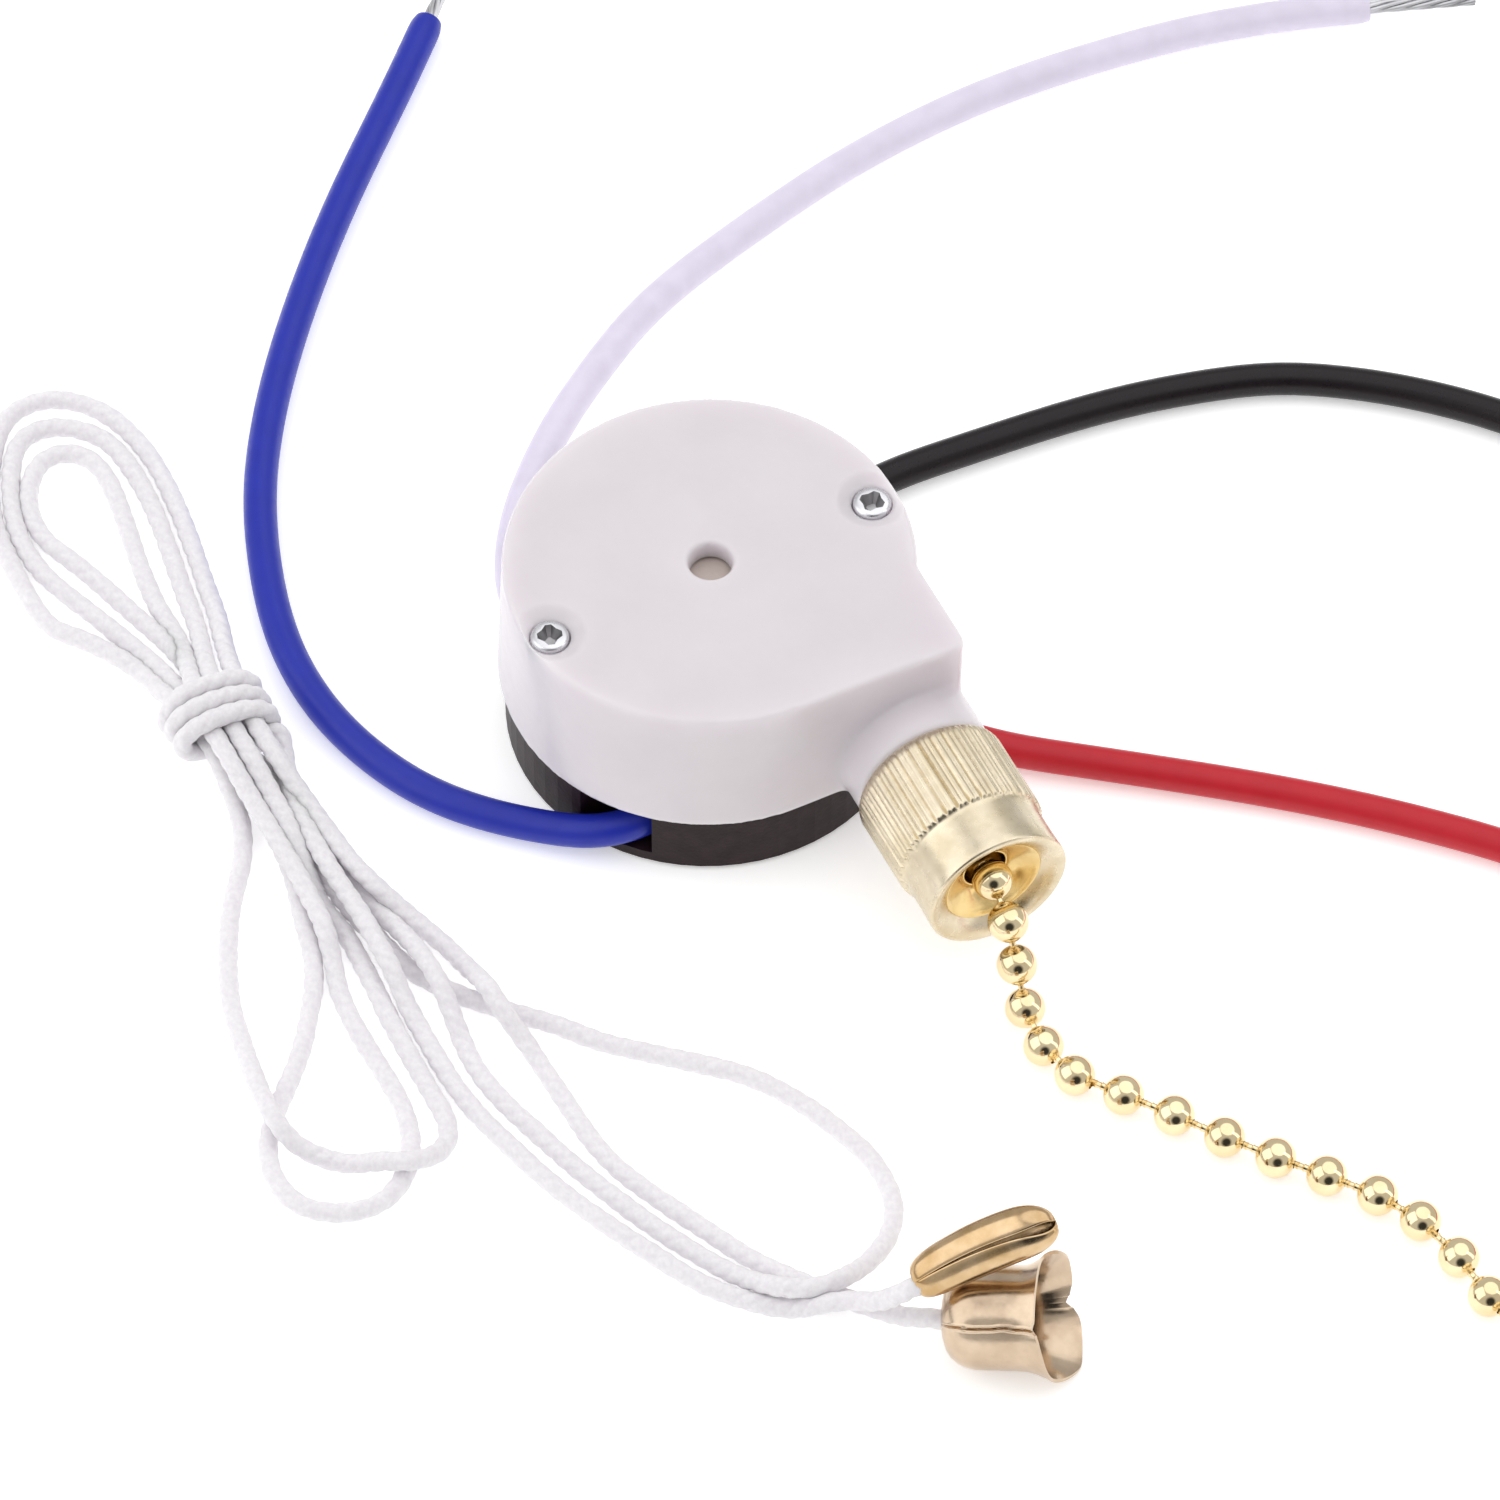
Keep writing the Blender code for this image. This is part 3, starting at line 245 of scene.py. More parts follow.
def grid_mesh(name, rings, loop=False):
    """Return a mesh through rings of points given in millimetres, closed at its ends or in a loop."""
    rings = np.asarray(rings, float)
    rows, columns = rings.shape[:2]
    index = np.arange(rows * columns).reshape(rows, columns)
    last = rows if loop else rows - 1
    low = index[:last]
    high = np.roll(index, -1, axis=0)[:last]
    quads = np.stack([low, np.roll(low, -1, 1), np.roll(high, -1, 1), high], axis=2).reshape(-1, 4)
    faces = quads.tolist()
    if not loop:
        faces.append(index[0][::-1].tolist())
        faces.append(index[-1].tolist())
    mesh = bpy.data.meshes.new(name)
    mesh.from_pydata((rings.reshape(-1, 3) * MM).tolist(), [], faces)
    return mesh


def face_outward(mesh):
    """Make a closed mesh's faces point out."""
    shape = bmesh.new()
    shape.from_mesh(mesh)
    bmesh.ops.recalc_face_normals(shape, faces=shape.faces)
    shape.to_mesh(mesh)
    shape.free()


def finish_piece(name, mesh, material, angle=35):
    """Link a mesh as a smooth piece with its material."""
    face_outward(mesh)
    mesh.shade_smooth()
    mesh.set_sharp_from_angle(angle=math.radians(angle))
    piece = bpy.data.objects.new(name, mesh)
    bpy.context.scene.collection.objects.link(piece)
    if material is not None:
        mesh.materials.append(material)
    return piece


def ring_points(centres, sides, uppers, profile):
    """Return rings whose flat outlines (across, up) follow the centres."""
    profile = np.asarray(profile, float)
    if profile.ndim == 2:
        profile = np.broadcast_to(profile, (len(centres),) + profile.shape)
    return (centres[:, None, :] + profile[:, :, 0:1] * sides[:, None, :]
            + profile[:, :, 1:2] * uppers[:, None, :])


def circle(radius, count):
    """Return points on a circle."""
    turn = 2 * np.pi * np.arange(count) / count
    return np.stack([radius * np.cos(turn), radius * np.sin(turn)], axis=1)


def turned_rings(profile, segments, axis_matrix=None):
    """Return rings for an outline of (radius, along) turned about Z, moved by a matrix."""
    rings = []
    for radius, along in profile:
        ring = circle(max(radius, 1e-4), segments)
        rings.append(np.column_stack([ring, np.full(segments, along)]))
    rings = np.array(rings)
    if axis_matrix is not None:
        matrix = np.array(axis_matrix)
        rings = rings @ matrix[:3, :3].T + matrix[:3, 3]
    return rings


def along_neck():
    """Return the matrix that lays a Z-axis shape along the neck's axis."""
    return Matrix.Translation((0, NECK_Y, NECK_Z)) @ Matrix.Rotation(math.radians(90), 4, "Y")


def join_pieces(name, pieces):
    """Join several pieces into one and name it."""
    bpy.ops.object.select_all(action="DESELECT")
    for piece in pieces:
        piece.select_set(True)
    bpy.context.view_layer.objects.active = pieces[0]
    bpy.ops.object.join()
    pieces[0].name = name
    return pieces[0]


def apply_modifiers(piece):
    """Apply all of a piece's modifiers, in order."""
    bpy.context.view_layer.objects.active = piece
    for step in list(piece.modifiers):
        bpy.ops.object.modifier_apply(modifier=step.name)


def cut(piece, tool):
    """Cut a tool out of a piece and remove the tool."""
    bpy.ops.object.select_all(action="DESELECT")
    step = piece.modifiers.new("cut", "BOOLEAN")
    step.operation = "DIFFERENCE"
    step.solver = "EXACT"
    step.object = tool
    apply_modifiers(piece)
    bpy.data.objects.remove(tool, do_unlink=True)


# ---------------------------------------------------------------- materials

def new_material(name, colour, roughness, metallic=0.0):
    """Return a Principled material, its shader and its node tree."""
    made = bpy.data.materials.new(name)
    made.use_nodes = True
    shader = made.node_tree.nodes["Principled BSDF"]
    shader.inputs["Base Color"].default_value = (*colour, 1)
    shader.inputs["Roughness"].default_value = roughness
    shader.inputs["Metallic"].default_value = metallic
    return made, shader, made.node_tree


def add_noise(tree, scale, detail=4.0, stretch=(1, 1, 1)):
    """Return the output of a noise texture in object coordinates, in millimetres."""
    place = tree.nodes.new("ShaderNodeTexCoord")
    mapping = tree.nodes.new("ShaderNodeMapping")
    mapping.inputs["Scale"].default_value = [1000 * s for s in stretch]
    texture = tree.nodes.new("ShaderNodeTexNoise")
    texture.inputs["Scale"].default_value = scale
    texture.inputs["Detail"].default_value = detail
    tree.links.new(place.outputs["Object"], mapping.inputs["Vector"])
    tree.links.new(mapping.outputs["Vector"], texture.inputs["Vector"])
    return texture.outputs["Fac"]


def add_bump(tree, shader, height, distance):
    """Link a height to the shader's normal. The distance is in millimetres."""
    bump = tree.nodes.new("ShaderNodeBump")
    bump.inputs["Strength"].default_value = 1.0
    bump.inputs["Distance"].default_value = distance * MM
    tree.links.new(height, bump.inputs["Height"])
    tree.links.new(bump.outputs["Normal"], shader.inputs["Normal"])


def vary_colour(tree, shader, fac, low, high):
    """Mix two colours by the middle range of a texture into the base colour."""
    ramp = tree.nodes.new("ShaderNodeValToRGB")
    ramp.color_ramp.elements[0].position = 0.35
    ramp.color_ramp.elements[0].color = (*low, 1)
    ramp.color_ramp.elements[1].position = 0.65
    ramp.color_ramp.elements[1].color = (*high, 1)
    tree.links.new(fac, ramp.inputs["Fac"])
    tree.links.new(ramp.outputs["Color"], shader.inputs["Base Color"])


def vary_roughness(tree, shader, fac, low, high):
    """Map the middle range of a texture to a range of roughness."""
    span = tree.nodes.new("ShaderNodeMapRange")
    span.inputs["From Min"].default_value = 0.3
    span.inputs["From Max"].default_value = 0.7
    span.inputs["To Min"].default_value = low
    span.inputs["To Max"].default_value = high
    tree.links.new(fac, span.inputs["Value"])
    tree.links.new(span.outputs["Result"], shader.inputs["Roughness"])


def nylon_material():
    """Slightly translucent natural nylon."""
    made, shader, tree = new_material("nylon", (0.73, 0.685, 0.715), 0.25)
    cloud = add_noise(tree, 0.12, 3)
    vary_colour(tree, shader, cloud, (0.715, 0.665, 0.70), (0.745, 0.70, 0.73))
    shader.inputs["Subsurface Weight"].default_value = 0.8
    shader.inputs["Subsurface Radius"].default_value = (1.0, 0.93, 0.95)
    shader.inputs["Subsurface Scale"].default_value = 2.2 * MM
    shader.inputs["IOR"].default_value = 1.5
    add_bump(tree, shader, add_noise(tree, 0.5, 3), 0.05)
    return made


def moulding_material():
    """Satin black-brown moulding compound."""
    made, shader, tree = new_material("moulding", (0.02, 0.013, 0.014), 0.45)
    vary_colour(tree, shader, add_noise(tree, 0.6), (0.014, 0.005, 0.006), (0.023, 0.010, 0.011))
    shader.inputs["Specular IOR Level"].default_value = 0.18
    add_bump(tree, shader, add_noise(tree, 3.0), 0.02)
    return made


def metal_material(name, low, high, roughness):
    """Plated metal with faint cloudiness."""
    made, shader, tree = new_material(name, low, roughness[0], 1.0)
    vary_colour(tree, shader, add_noise(tree, 0.4, 5), low, high)
    vary_roughness(tree, shader, add_noise(tree, 1.5, 5), *roughness)
    add_bump(tree, shader, add_noise(tree, 2.25, 3), 0.004)
    return made


def insulation_material(name, colour, roughness, gloss):
    """Satin PVC with a faintly uneven surface."""
    made, shader, tree = new_material(name, colour, roughness)
    darker = tuple(0.94 * c for c in colour)
    vary_colour(tree, shader, add_noise(tree, 0.5, 4), darker, colour)
    vary_roughness(tree, shader, add_noise(tree, 1.2, 4), roughness - 0.04, roughness + 0.1)
    add_bump(tree, shader, add_noise(tree, 1.1, 3), 0.012)
    shader.inputs["IOR"].default_value = 1.5
    shader.inputs["Specular IOR Level"].default_value = gloss
    return made


def cord_material():
    """White twisted yarn."""
    made, shader, tree = new_material("cord_white", (0.86, 0.84, 0.87), 0.75)
    vary_colour(tree, shader, add_noise(tree, 2.5, 6), (0.79, 0.765, 0.80), (0.86, 0.84, 0.86))
    add_bump(tree, shader, add_noise(tree, 9.0, 6), 0.035)
    shader.inputs["Sheen Weight"].default_value = 0.25
    shader.inputs["Sheen Roughness"].default_value = 0.4
    shader.inputs["Subsurface Weight"].default_value = 0.6
    shader.inputs["Subsurface Radius"].default_value = (1.0, 0.95, 1.0)
    shader.inputs["Subsurface Scale"].default_value = 1.2 * MM
    return made


def beige_material():
    """Warm beige moulding with faint flow marks."""
    made, shader, tree = new_material("beige_moulding", (0.68, 0.59, 0.55), 0.5)
    streaks = add_noise(tree, 0.25, 4, (1, 1, 0.3))
    vary_colour(tree, shader, streaks, (0.52, 0.44, 0.40), (0.63, 0.54, 0.50))
    vary_roughness(tree, shader, add_noise(tree, 0.8, 4), 0.42, 0.58)
    add_bump(tree, shader, add_noise(tree, 1.6, 3), 0.03)
    return made


NYLON = nylon_material()
MOULDING = moulding_material()
NUT_BRASS = metal_material("nut_brass", (0.64, 0.55, 0.39), (0.76, 0.67, 0.51), (0.24, 0.34))
BUSH_BRASS = metal_material("bush_brass", (0.66, 0.46, 0.18), (0.78, 0.59, 0.28), (0.14, 0.26))
BEAD_BRASS = metal_material("bead_brass", (0.82, 0.66, 0.40), (0.88, 0.74, 0.48), (0.07, 0.14))
SATIN_BRASS = metal_material("satin_brass_sheet", (0.50, 0.38, 0.27), (0.62, 0.49, 0.36), (0.16, 0.26))
COUPLING_BRASS = metal_material("coupling_brass", (0.50, 0.33, 0.16), (0.66, 0.48, 0.29), (0.14, 0.24))
CONTACT_BRASS = metal_material("contact_brass", (0.78, 0.60, 0.27), (0.84, 0.68, 0.36), (0.2, 0.32))
ZINC = metal_material("zinc_screw", (0.66, 0.66, 0.69), (0.8, 0.8, 0.83), (0.22, 0.35))
# Darker zinc for the screws' deep recess faces: painted shade, not a different finish.
PAINTED_RECESS_SHADE = metal_material("zinc_recess_painted_shade", (0.34, 0.335, 0.345), (0.52, 0.51, 0.52), (0.3, 0.45))
TINNED = metal_material("tinned_strand", (0.5, 0.5, 0.52), (0.66, 0.66, 0.68), (0.3, 0.42))
BEIGE = beige_material()
COPPER = metal_material("copper_contact", (0.68, 0.38, 0.24), (0.76, 0.47, 0.32), (0.25, 0.4))
CORD_WHITE = cord_material()
INSULATION = {
    "blue": insulation_material("blue_pvc", (0.014, 0.028, 0.40), 0.34, 0.35),
    "white": insulation_material("white_pvc", (0.77, 0.715, 0.86), 0.34, 0.35),
    "black": insulation_material("black_pvc", (0.012, 0.009, 0.011), 0.27, 0.25),
    "red": insulation_material("red_pvc", (0.56, 0.014, 0.028), 0.34, 0.35),
}


# ---------------------------------------------------------------- body

def cap_outline(radius):
    """Return the cap's outline, a circle of the given radius with one squared corner."""
    corner_x, corner_y = CAP_CORNER
    rounding = CAP_CORNER_ROUNDING
    corner_steps = 8
    arc_steps = 120
    points = []
    for i in range(corner_steps + 1):
        turn = math.radians(90 * i / corner_steps)
        points.append((corner_x - rounding + rounding * math.cos(turn),
                       corner_y - rounding + rounding * math.sin(turn)))
    start = math.asin(corner_y / radius)
    for i in range(arc_steps + 1):
        turn = start + (2 * math.pi - start) * i / arc_steps
        points.append((radius * math.cos(turn), radius * math.sin(turn)))
    return points


def tool_from_rings(name, rings):
    """Add a closed shape for a Boolean."""
    return finish_piece(name, grid_mesh(name, rings), None)


def make_cap():
    """White cap with its drafted sides, soft edges, squared corner and neck in one moulding."""
    levels = ((CAP_LOW, CAP_RADIUS, (0.0, 0.0)), (BODY_HEIGHT, CAP_TOP_RADIUS, CAP_TOP_SHIFT))
    rings = []
    for z, radius, shift in levels:
        outline = np.array(cap_outline(radius)) + np.array(shift)
        rings.append(np.column_stack([outline, np.full(len(outline), z)]))
    body = tool_from_rings("housing_cap_moulding", rings)
    neck_profile = ((0, 8), (5.75, 8), (5.8, 19.8), (5.6, 20.0), (0, 20.0))
    neck = tool_from_rings("neck", turned_rings(neck_profile, 96, along_neck()))
    cap = join_pieces("housing_cap_moulding", [body, neck])
    remesh = cap.modifiers.new("remesh", "REMESH")
    remesh.mode = "VOXEL"
    remesh.voxel_size = CAP_VOXEL * MM
    soften = cap.modifiers.new("soften", "SMOOTH")
    soften.factor = 0.5
    soften.iterations = CAP_SMOOTHING
    apply_modifiers(cap)
    hollow_profile = ((CAP_HOLLOW_RADIUS, CAP_LOW - 2), (CAP_HOLLOW_RADIUS, BODY_HEIGHT - CAP_ROOF))
    rings = turned_rings(hollow_profile, 96)
    cut(cap, tool_from_rings("hollow", rings))
    hole_profile = ((0, 16.5), (1.62, 16.5), (1.62, 18.0), (1.66, 18.35), (1.72, 18.6), (1.8, 18.8),
                    (1.92, 18.94), (2.2, 19.04), (2.2, 20.0), (0, 20.0))
    sink_profile = ((0, 17.5), (1.62, 17.5), (1.62, 18.3), (1.7, 18.42), (1.95, 18.55), (2.3, 18.7),
                    (2.6, 18.86), (3.0, 19.04), (3.0, 20.0), (0, 20.0))
    shapes = [(HUB_PLACE, hole_profile)] + [(place, sink_profile) for place in SCREW_PLACES]
    for place, profile in shapes:
        rings = turned_rings(profile, 64, Matrix.Translation((*place, 0)))
        cut(cap, tool_from_rings("hole", rings))
    cap.data.materials.clear()
    cap.data.materials.append(NYLON)
    cap.data.shade_smooth()
    cap.data.set_sharp_from_angle(angle=math.radians(38))
    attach(cap, "switch_body")
    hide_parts("housing_cap")
    spigot_profile = ((3.4, 19.0), (4.6, 19.0), (4.6, 27.6), (3.4, 27.6))
    mesh = grid_mesh("neck_spigot", turned_rings(spigot_profile, 64, along_neck()), loop=True)
    spigot = finish_piece("neck_spigot", mesh, NYLON)
    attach(spigot, "switch_body")


def make_screws():
    """Small bright screws, nearly flush, with a wide cross recess whose deep faces carry painted shade."""
    profile = ((0, 8.0), (0.9, 8.0), (0.9, 17.6), (1.48, 17.6), (1.53, 17.8), (1.53, 18.35),
               (1.46, 18.55), (1.32, 18.68), (1.15, 18.72), (0.6, 18.72), (0, 18.72))
    arm = 0.98
    half_arm_width = 0.24
    shoulder = 0.55
    cross = []
    for quarter in range(4):
        cosine = math.cos(math.radians(90 * quarter))
        sine = math.sin(math.radians(90 * quarter))
        for x, y in ((arm, -half_arm_width), (arm, half_arm_width), (shoulder, shoulder)):
            cross.append((x * cosine - y * sine, x * sine + y * cosine))
    for number, place in enumerate(SCREW_PLACES, 1):
        stand = Matrix.Translation((*place, 0)) @ Matrix.Rotation(math.radians(12 + 30 * number), 4, "Z")
        mesh = grid_mesh("screw", turned_rings(profile, 48, stand))
        screw = finish_piece(f"screw_{number}", mesh, ZINC)
        rings = []
        for z, size in ((17.8, 0.45), (18.25, 0.75), (19.2, 1.25)):
            rings.append(np.column_stack([np.array(cross) * size, np.full(len(cross), z)]))
        matrix = np.array(stand)
        rings = np.array(rings) @ matrix[:3, :3].T + matrix[:3, 3]
        cut(screw, tool_from_rings("cross", rings))
        # The deep faces of the cross recess take the darker zinc: painted shade in the recess.
        screw.data.materials.append(PAINTED_RECESS_SHADE)
        for face in screw.data.polygons:
            across = Vector((face.center.x - place[0] * MM, face.center.y - place[1] * MM)).length
            deep = PAINTED_SHADE_HEIGHTS[0] * MM < face.center.z < PAINTED_SHADE_HEIGHTS[1] * MM
            if deep and across < PAINTED_SHADE_RADIUS * MM:
                face.material_index = 1
        screw.data.set_sharp_from_angle(angle=math.radians(30))
        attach(screw, "switch_body")
        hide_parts(f"cap_screw_{number}")


make_cap()
make_screws()


# ---------------------------------------------------------------- brass fittings

KNURL_TEETH = 37
KNURL_RADIUS = 6.22
KNURL_DEPTH = 0.17
PIT_DEPTH = 0.11
BAND_START = 28.2
BAND_LENGTH = 3.7
BAND_RADIUS = 5.84
BAND_FLARE = 0.06
EDGE_START = 31.95
EDGE_RADIUS = 5.9
EDGE_ROUND = (0.25, 0.3)
MOUTH_START = 32.2
MOUTH_RADIUS = 5.6
MOUTH_DEPTH = 1.3
MOUTH_TAPER = 1.8


def knurl_depth(share):
    """Return how deep a knurl is cut across one tooth: a deep groove and a shallow one."""
    deep = np.clip(1 - np.abs(share - 0.5) / 0.2, 0, 1)
    shallow = 0.5 * np.clip(1 - np.minimum(share, 1 - share) / 0.16, 0, 1)
    return deep + shallow


def make_nut():
    """Nut with a straight knurl, a row of pits at its end, a plain band and a conical mouth."""
    per_tooth = 16
    segments = KNURL_TEETH * per_tooth
    tooth_share = (np.arange(segments) % per_tooth) / per_tooth
    groove = knurl_depth(tooth_share)
    pit = np.clip(1 - np.abs(tooth_share - 0.5) / 0.15, 0, 1)
    unit = circle(1.0, segments)
    rng = np.random.default_rng(4)
    tooth_size = rng.uniform(0.7, 1.15, KNURL_TEETH).repeat(per_tooth)
    # Each station is a distance along the neck, a radius, a share of the knurl and a share of the pits
    stations = [(20.1, 5.2, 0.0, 0.0), (20.12, 5.85, 0.3, 0.0), (20.4, 6.12, 0.9, 0.0)]
    for x in np.linspace(20.8, 26.7, 20):
        stations.append((x, KNURL_RADIUS, 1.0, 0.0))
    stations += [(27.0, KNURL_RADIUS, 1.0, 0.35), (27.3, 6.21, 0.9, 0.7), (27.48, 6.19, 0.8, 0.85),
                 (27.58, 6.11, 0.5, 0.6), (27.66, 6.0, 0.1, 0.2), (27.8, 5.87, 0.0, 0.0),
                 (27.95, 5.84, 0.0, 0.0)]
    for share in np.linspace(0, 1, 9):
        stations.append((BAND_START + BAND_LENGTH * share, BAND_RADIUS + BAND_FLARE * share ** 2,
                         0.0, 0.0))
    for turn in np.linspace(0, 90, 6)[1:]:
        stations.append((EDGE_START + EDGE_ROUND[0] * math.sin(math.radians(turn)),
                         EDGE_RADIUS - EDGE_ROUND[1] * (1 - math.cos(math.radians(turn))), 0.0, 0.0))
    for share in np.linspace(0, 1, 12)[1:]:
        stations.append((MOUTH_START - MOUTH_DEPTH * share ** 1.6, MOUTH_RADIUS - MOUTH_TAPER * share,
                         0.0, 0.0))
    inside = ((30.7, 3.74), (30.3, 3.72), (30.0, 3.5), (29.2, 3.45), (28.2, 3.45), (28.2, 4.8),
              (20.1, 4.8))
    for x, radius in inside:
        stations.append((x, radius, 0.0, 0.0))
    rings = []
    for x, radius, amount, pitted in stations:
        ripple = 1 + 0.12 * np.sin(7.0 * x + 3.0 * tooth_size)
        reach = (radius - KNURL_DEPTH * amount * groove * tooth_size * ripple
                 - PIT_DEPTH * pitted * pit * tooth_size)
        rings.append(np.column_stack([np.full(segments, x), NECK_Y + unit[:, 0] * reach,
                                      NECK_Z + unit[:, 1] * reach]))
    nut = finish_piece("knurled_nut_brass", grid_mesh("nut", rings, loop=True), NUT_BRASS, 50)
    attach(nut, "nut")
    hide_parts("knurled_nut")


def make_bush():
    """Eyelet flared into a smooth funnel that fills the nut's mouth, with a small rolled lip."""
    lip_radius = 0.1
    profile = [(1.75, 24.2), (3.1, 24.2), (3.1, 29.7), (3.3, 30.2), (3.6, 30.4), (3.68, 30.8),
               (4.02, 31.08), (4.1, 31.2), (4.04, 31.3), (3.9, 31.26)]
    for share in np.linspace(0.1, 1, 13):
        profile.append((1.98 + 1.87 * (1 - share) ** 1.4, 31.2 - 1.4 * share))
    for turn in range(0, 181, 30):
        profile.append((1.86 + lip_radius * math.cos(math.radians(turn)),
                        29.8 + lip_radius * math.sin(math.radians(turn))))
    mesh = grid_mesh("bush", turned_rings(profile, 96, along_neck()), loop=True)
    bush = finish_piece("chain_bush_brass", mesh, BUSH_BRASS, 40)
    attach(bush, "switch_body")
    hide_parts("chain_guide_bush")


def bead_chain(name, centres):
    """Return hollow-looking beads with a small hole at each end, joined by short wire links."""
    centres = [np.array(c, float) for c in centres]
    padded = [2 * centres[0] - centres[1]] + centres + [2 * centres[-1] - centres[-2]]
    parts = []
    profile = [(0.05, -1.38), (0.33, -1.40)]
    for turn in np.linspace(12, 168, 19):
        profile.append((BEAD_RADIUS * math.sin(math.radians(turn)),
                        -BEAD_RADIUS * math.cos(math.radians(turn))))
    profile += [(0.33, 1.40), (0.05, 1.38)]
    for before, centre, after in zip(padded, centres, padded[2:]):
        direction = Vector(after - before).normalized()
        stand = Matrix.Translation(Vector(centre)) @ direction.to_track_quat("Z", "Y").to_matrix().to_4x4()
        parts.append(grid_mesh("bead", turned_rings(profile, 32, stand)))
    link = ((0.3, 1.2), (0.3, 1.75), (0.36, 1.85), (0.27, 1.95), (0.27, BEAD_PITCH - 1.95),
            (0.36, BEAD_PITCH - 1.85), (0.3, BEAD_PITCH - 1.75), (0.3, BEAD_PITCH - 1.2))
    for a, b in zip(centres, centres[1:]):
        direction = Vector(b - a)
        scale = direction.length / BEAD_PITCH
        stand = (Matrix.Translation(Vector(a)) @ direction.to_track_quat("Z", "Y").to_matrix().to_4x4()
                 @ Matrix.Diagonal((1, 1, scale, 1)))
        parts.append(grid_mesh("link", turned_rings(link, 12, stand)))
    shape = bmesh.new()
    for mesh in parts:
        shape.from_mesh(mesh)
        bpy.data.meshes.remove(mesh)
    bmesh.ops.recalc_face_normals(shape, faces=shape.faces)
    mesh = bpy.data.meshes.new(name)
    shape.to_mesh(mesh)
    shape.free()
    mesh.shade_smooth()
    mesh.set_sharp_from_angle(angle=math.radians(40))
    mesh.materials.append(BEAD_BRASS)
    piece = bpy.data.objects.new(name, mesh)
    bpy.context.scene.collection.objects.link(piece)
    return piece


def make_chain():
    """The free chain, and the straight run inside the neck."""
    free = bead_chain("ball_chain_beads", CHAIN_ROUTE)
    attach(free, "pull_chain")
    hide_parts("ball_chain")
    start = CHAIN_ROUTE[0]
    path = [(x * MM, y * MM, z * MM) for x, y, z in smooth_route(CHAIN_ROUTE, 1.0)]
    inner = [(start[0] - BEAD_PITCH * i, NECK_Y, NECK_Z) for i in range(1, INNER_BEADS + 1)]
    inside = bead_chain("inner_chain_beads", inner)
    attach(inside, "pull_chain")
    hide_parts("inner_chain")


make_nut()
make_bush()
make_chain()


# ---------------------------------------------------------------- wires

def make_wires():
    """Four insulated wires, each ending in a short twist of bare strands."""
    for name, route in WIRE_ROUTES.items():
        centres = smooth_route(route, 0.6, WIRE_EASING)
        sides, uppers = frames_along(centres)
        outline = circle(WIRE_RADIUS, 32)
        ends = [0.86, 0.97] + [1.0] * (len(centres) - 4) + [0.97, 0.86]
        profiles = outline[None] * np.array(ends)[:, None, None]
        mesh = grid_mesh(f"wire_{name}", ring_points(centres, sides, uppers, profiles))
        wire = finish_piece(f"wire_{name}_pvc", mesh, INSULATION[name], 50)
        ahead = centres[-1] - centres[-2]
        ahead = ahead / np.linalg.norm(ahead)
        strands = []
        along = np.linspace(-0.2, STRIPPED_LENGTH, 40)
        for i in range(7):
            radius = 0.0 if i == 0 else STRAND_RING_RADIUS
            turn = 2 * np.pi * i / 6 + along * 0.5
            points = (centres[-1] + ahead * along[:, None]
                      + sides[-1] * (radius * np.cos(turn))[:, None]
                      + uppers[-1] * (radius * np.sin(turn))[:, None])
            across, above = frames_along(points)
            mesh = grid_mesh("strand", ring_points(points, across, above, circle(STRAND_RADIUS, 8)))
            strands.append(finish_piece("strand", mesh, TINNED))
        bare = join_pieces(f"stripped_end_{name}_strands", strands)
        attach(wire, "switch_body")
        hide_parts(f"wire_{name}")
        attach(bare, "switch_body")
        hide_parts(f"stripped_end_{name}")
        path = [tuple(p * MM) for p in smooth_route(route, 2.0, WIRE_EASING)]


make_wires()


# ---------------------------------------------------------------- bell and coupling

BELL_RIM = ((-180, 9.2, 5.0), (-165, 9.4, 5.05), (-130, 9.7, 5.15), (-90, 8.3, 4.8), (-40, 8.05, 4.45),
            (-18, 7.8, 4.25), (-9, 7.4, 4.2), (0, 7.6, 4.25), (40, 7.6, 4.4), (80, 7.5, 4.8),
            (125, 8.7, 5.6), (152, 8.7, 5.35), (167, 8.2, 4.65), (176, 8.9, 4.9), (180, 9.1, 5.0))
BELL_SEAM = -9.0
BELL_FAR_SEAM = 167.0
BELL_RADIUS = 4.02
BELL_INNER_RADIUS = 3.64
BELL_FLARE_START = 6.0
SEAM_LIP = 0.07
SEAM_DEPTH = 0.22
SEAMS_FACE = (0.5395, -0.2666, 0.7986)
POD_LENGTH = 11.9
POD_BOW = 0.4
POD_WALL = 0.3
POD_LIP = 0.10
POD_FLATNESS = 0.72
POD_TURN_AND_TILT = (74.0, 27.0)
BELL_TURN_AND_TILT = (55.0, 11.0)


def fitting_axes(turn, tilt):
    """Return a fitting's own axis, the direction square to it that its seam faces, and the third."""
    axis = np.array((math.cos(math.radians(tilt)) * math.cos(math.radians(turn)),
                     math.cos(math.radians(tilt)) * math.sin(math.radians(turn)),
                     math.sin(math.radians(tilt))))
    facing = np.array(SEAMS_FACE)
    seam = facing - axis * (facing @ axis)
    seam = seam / np.linalg.norm(seam)
    return axis, seam, np.cross(seam, axis)


def bell_ring(axes, turns, along, radius):
    """Return one ring of the bell round its axis, from its angles, distances and radii."""
    axis, seam, over = axes
    radians = np.radians(turns)
    return (np.array(BELL_PLACE) + np.outer(along * np.ones(len(turns)), axis)
            + np.outer(radius * np.cos(radians), seam) + np.outer(radius * np.sin(radians), over))


def seam_relief(from_seam, from_far, sway):
    """Return the height of the raised lips and the narrow groove of the two seams."""
    groove = np.exp(-((from_seam - sway) / 0.8) ** 2) + np.exp(-(from_far / 1.0) ** 2)
    lips = np.exp(-((np.abs(from_seam - sway) - 2.6) / 1.1) ** 2)
    return SEAM_LIP * lips - SEAM_DEPTH * groove


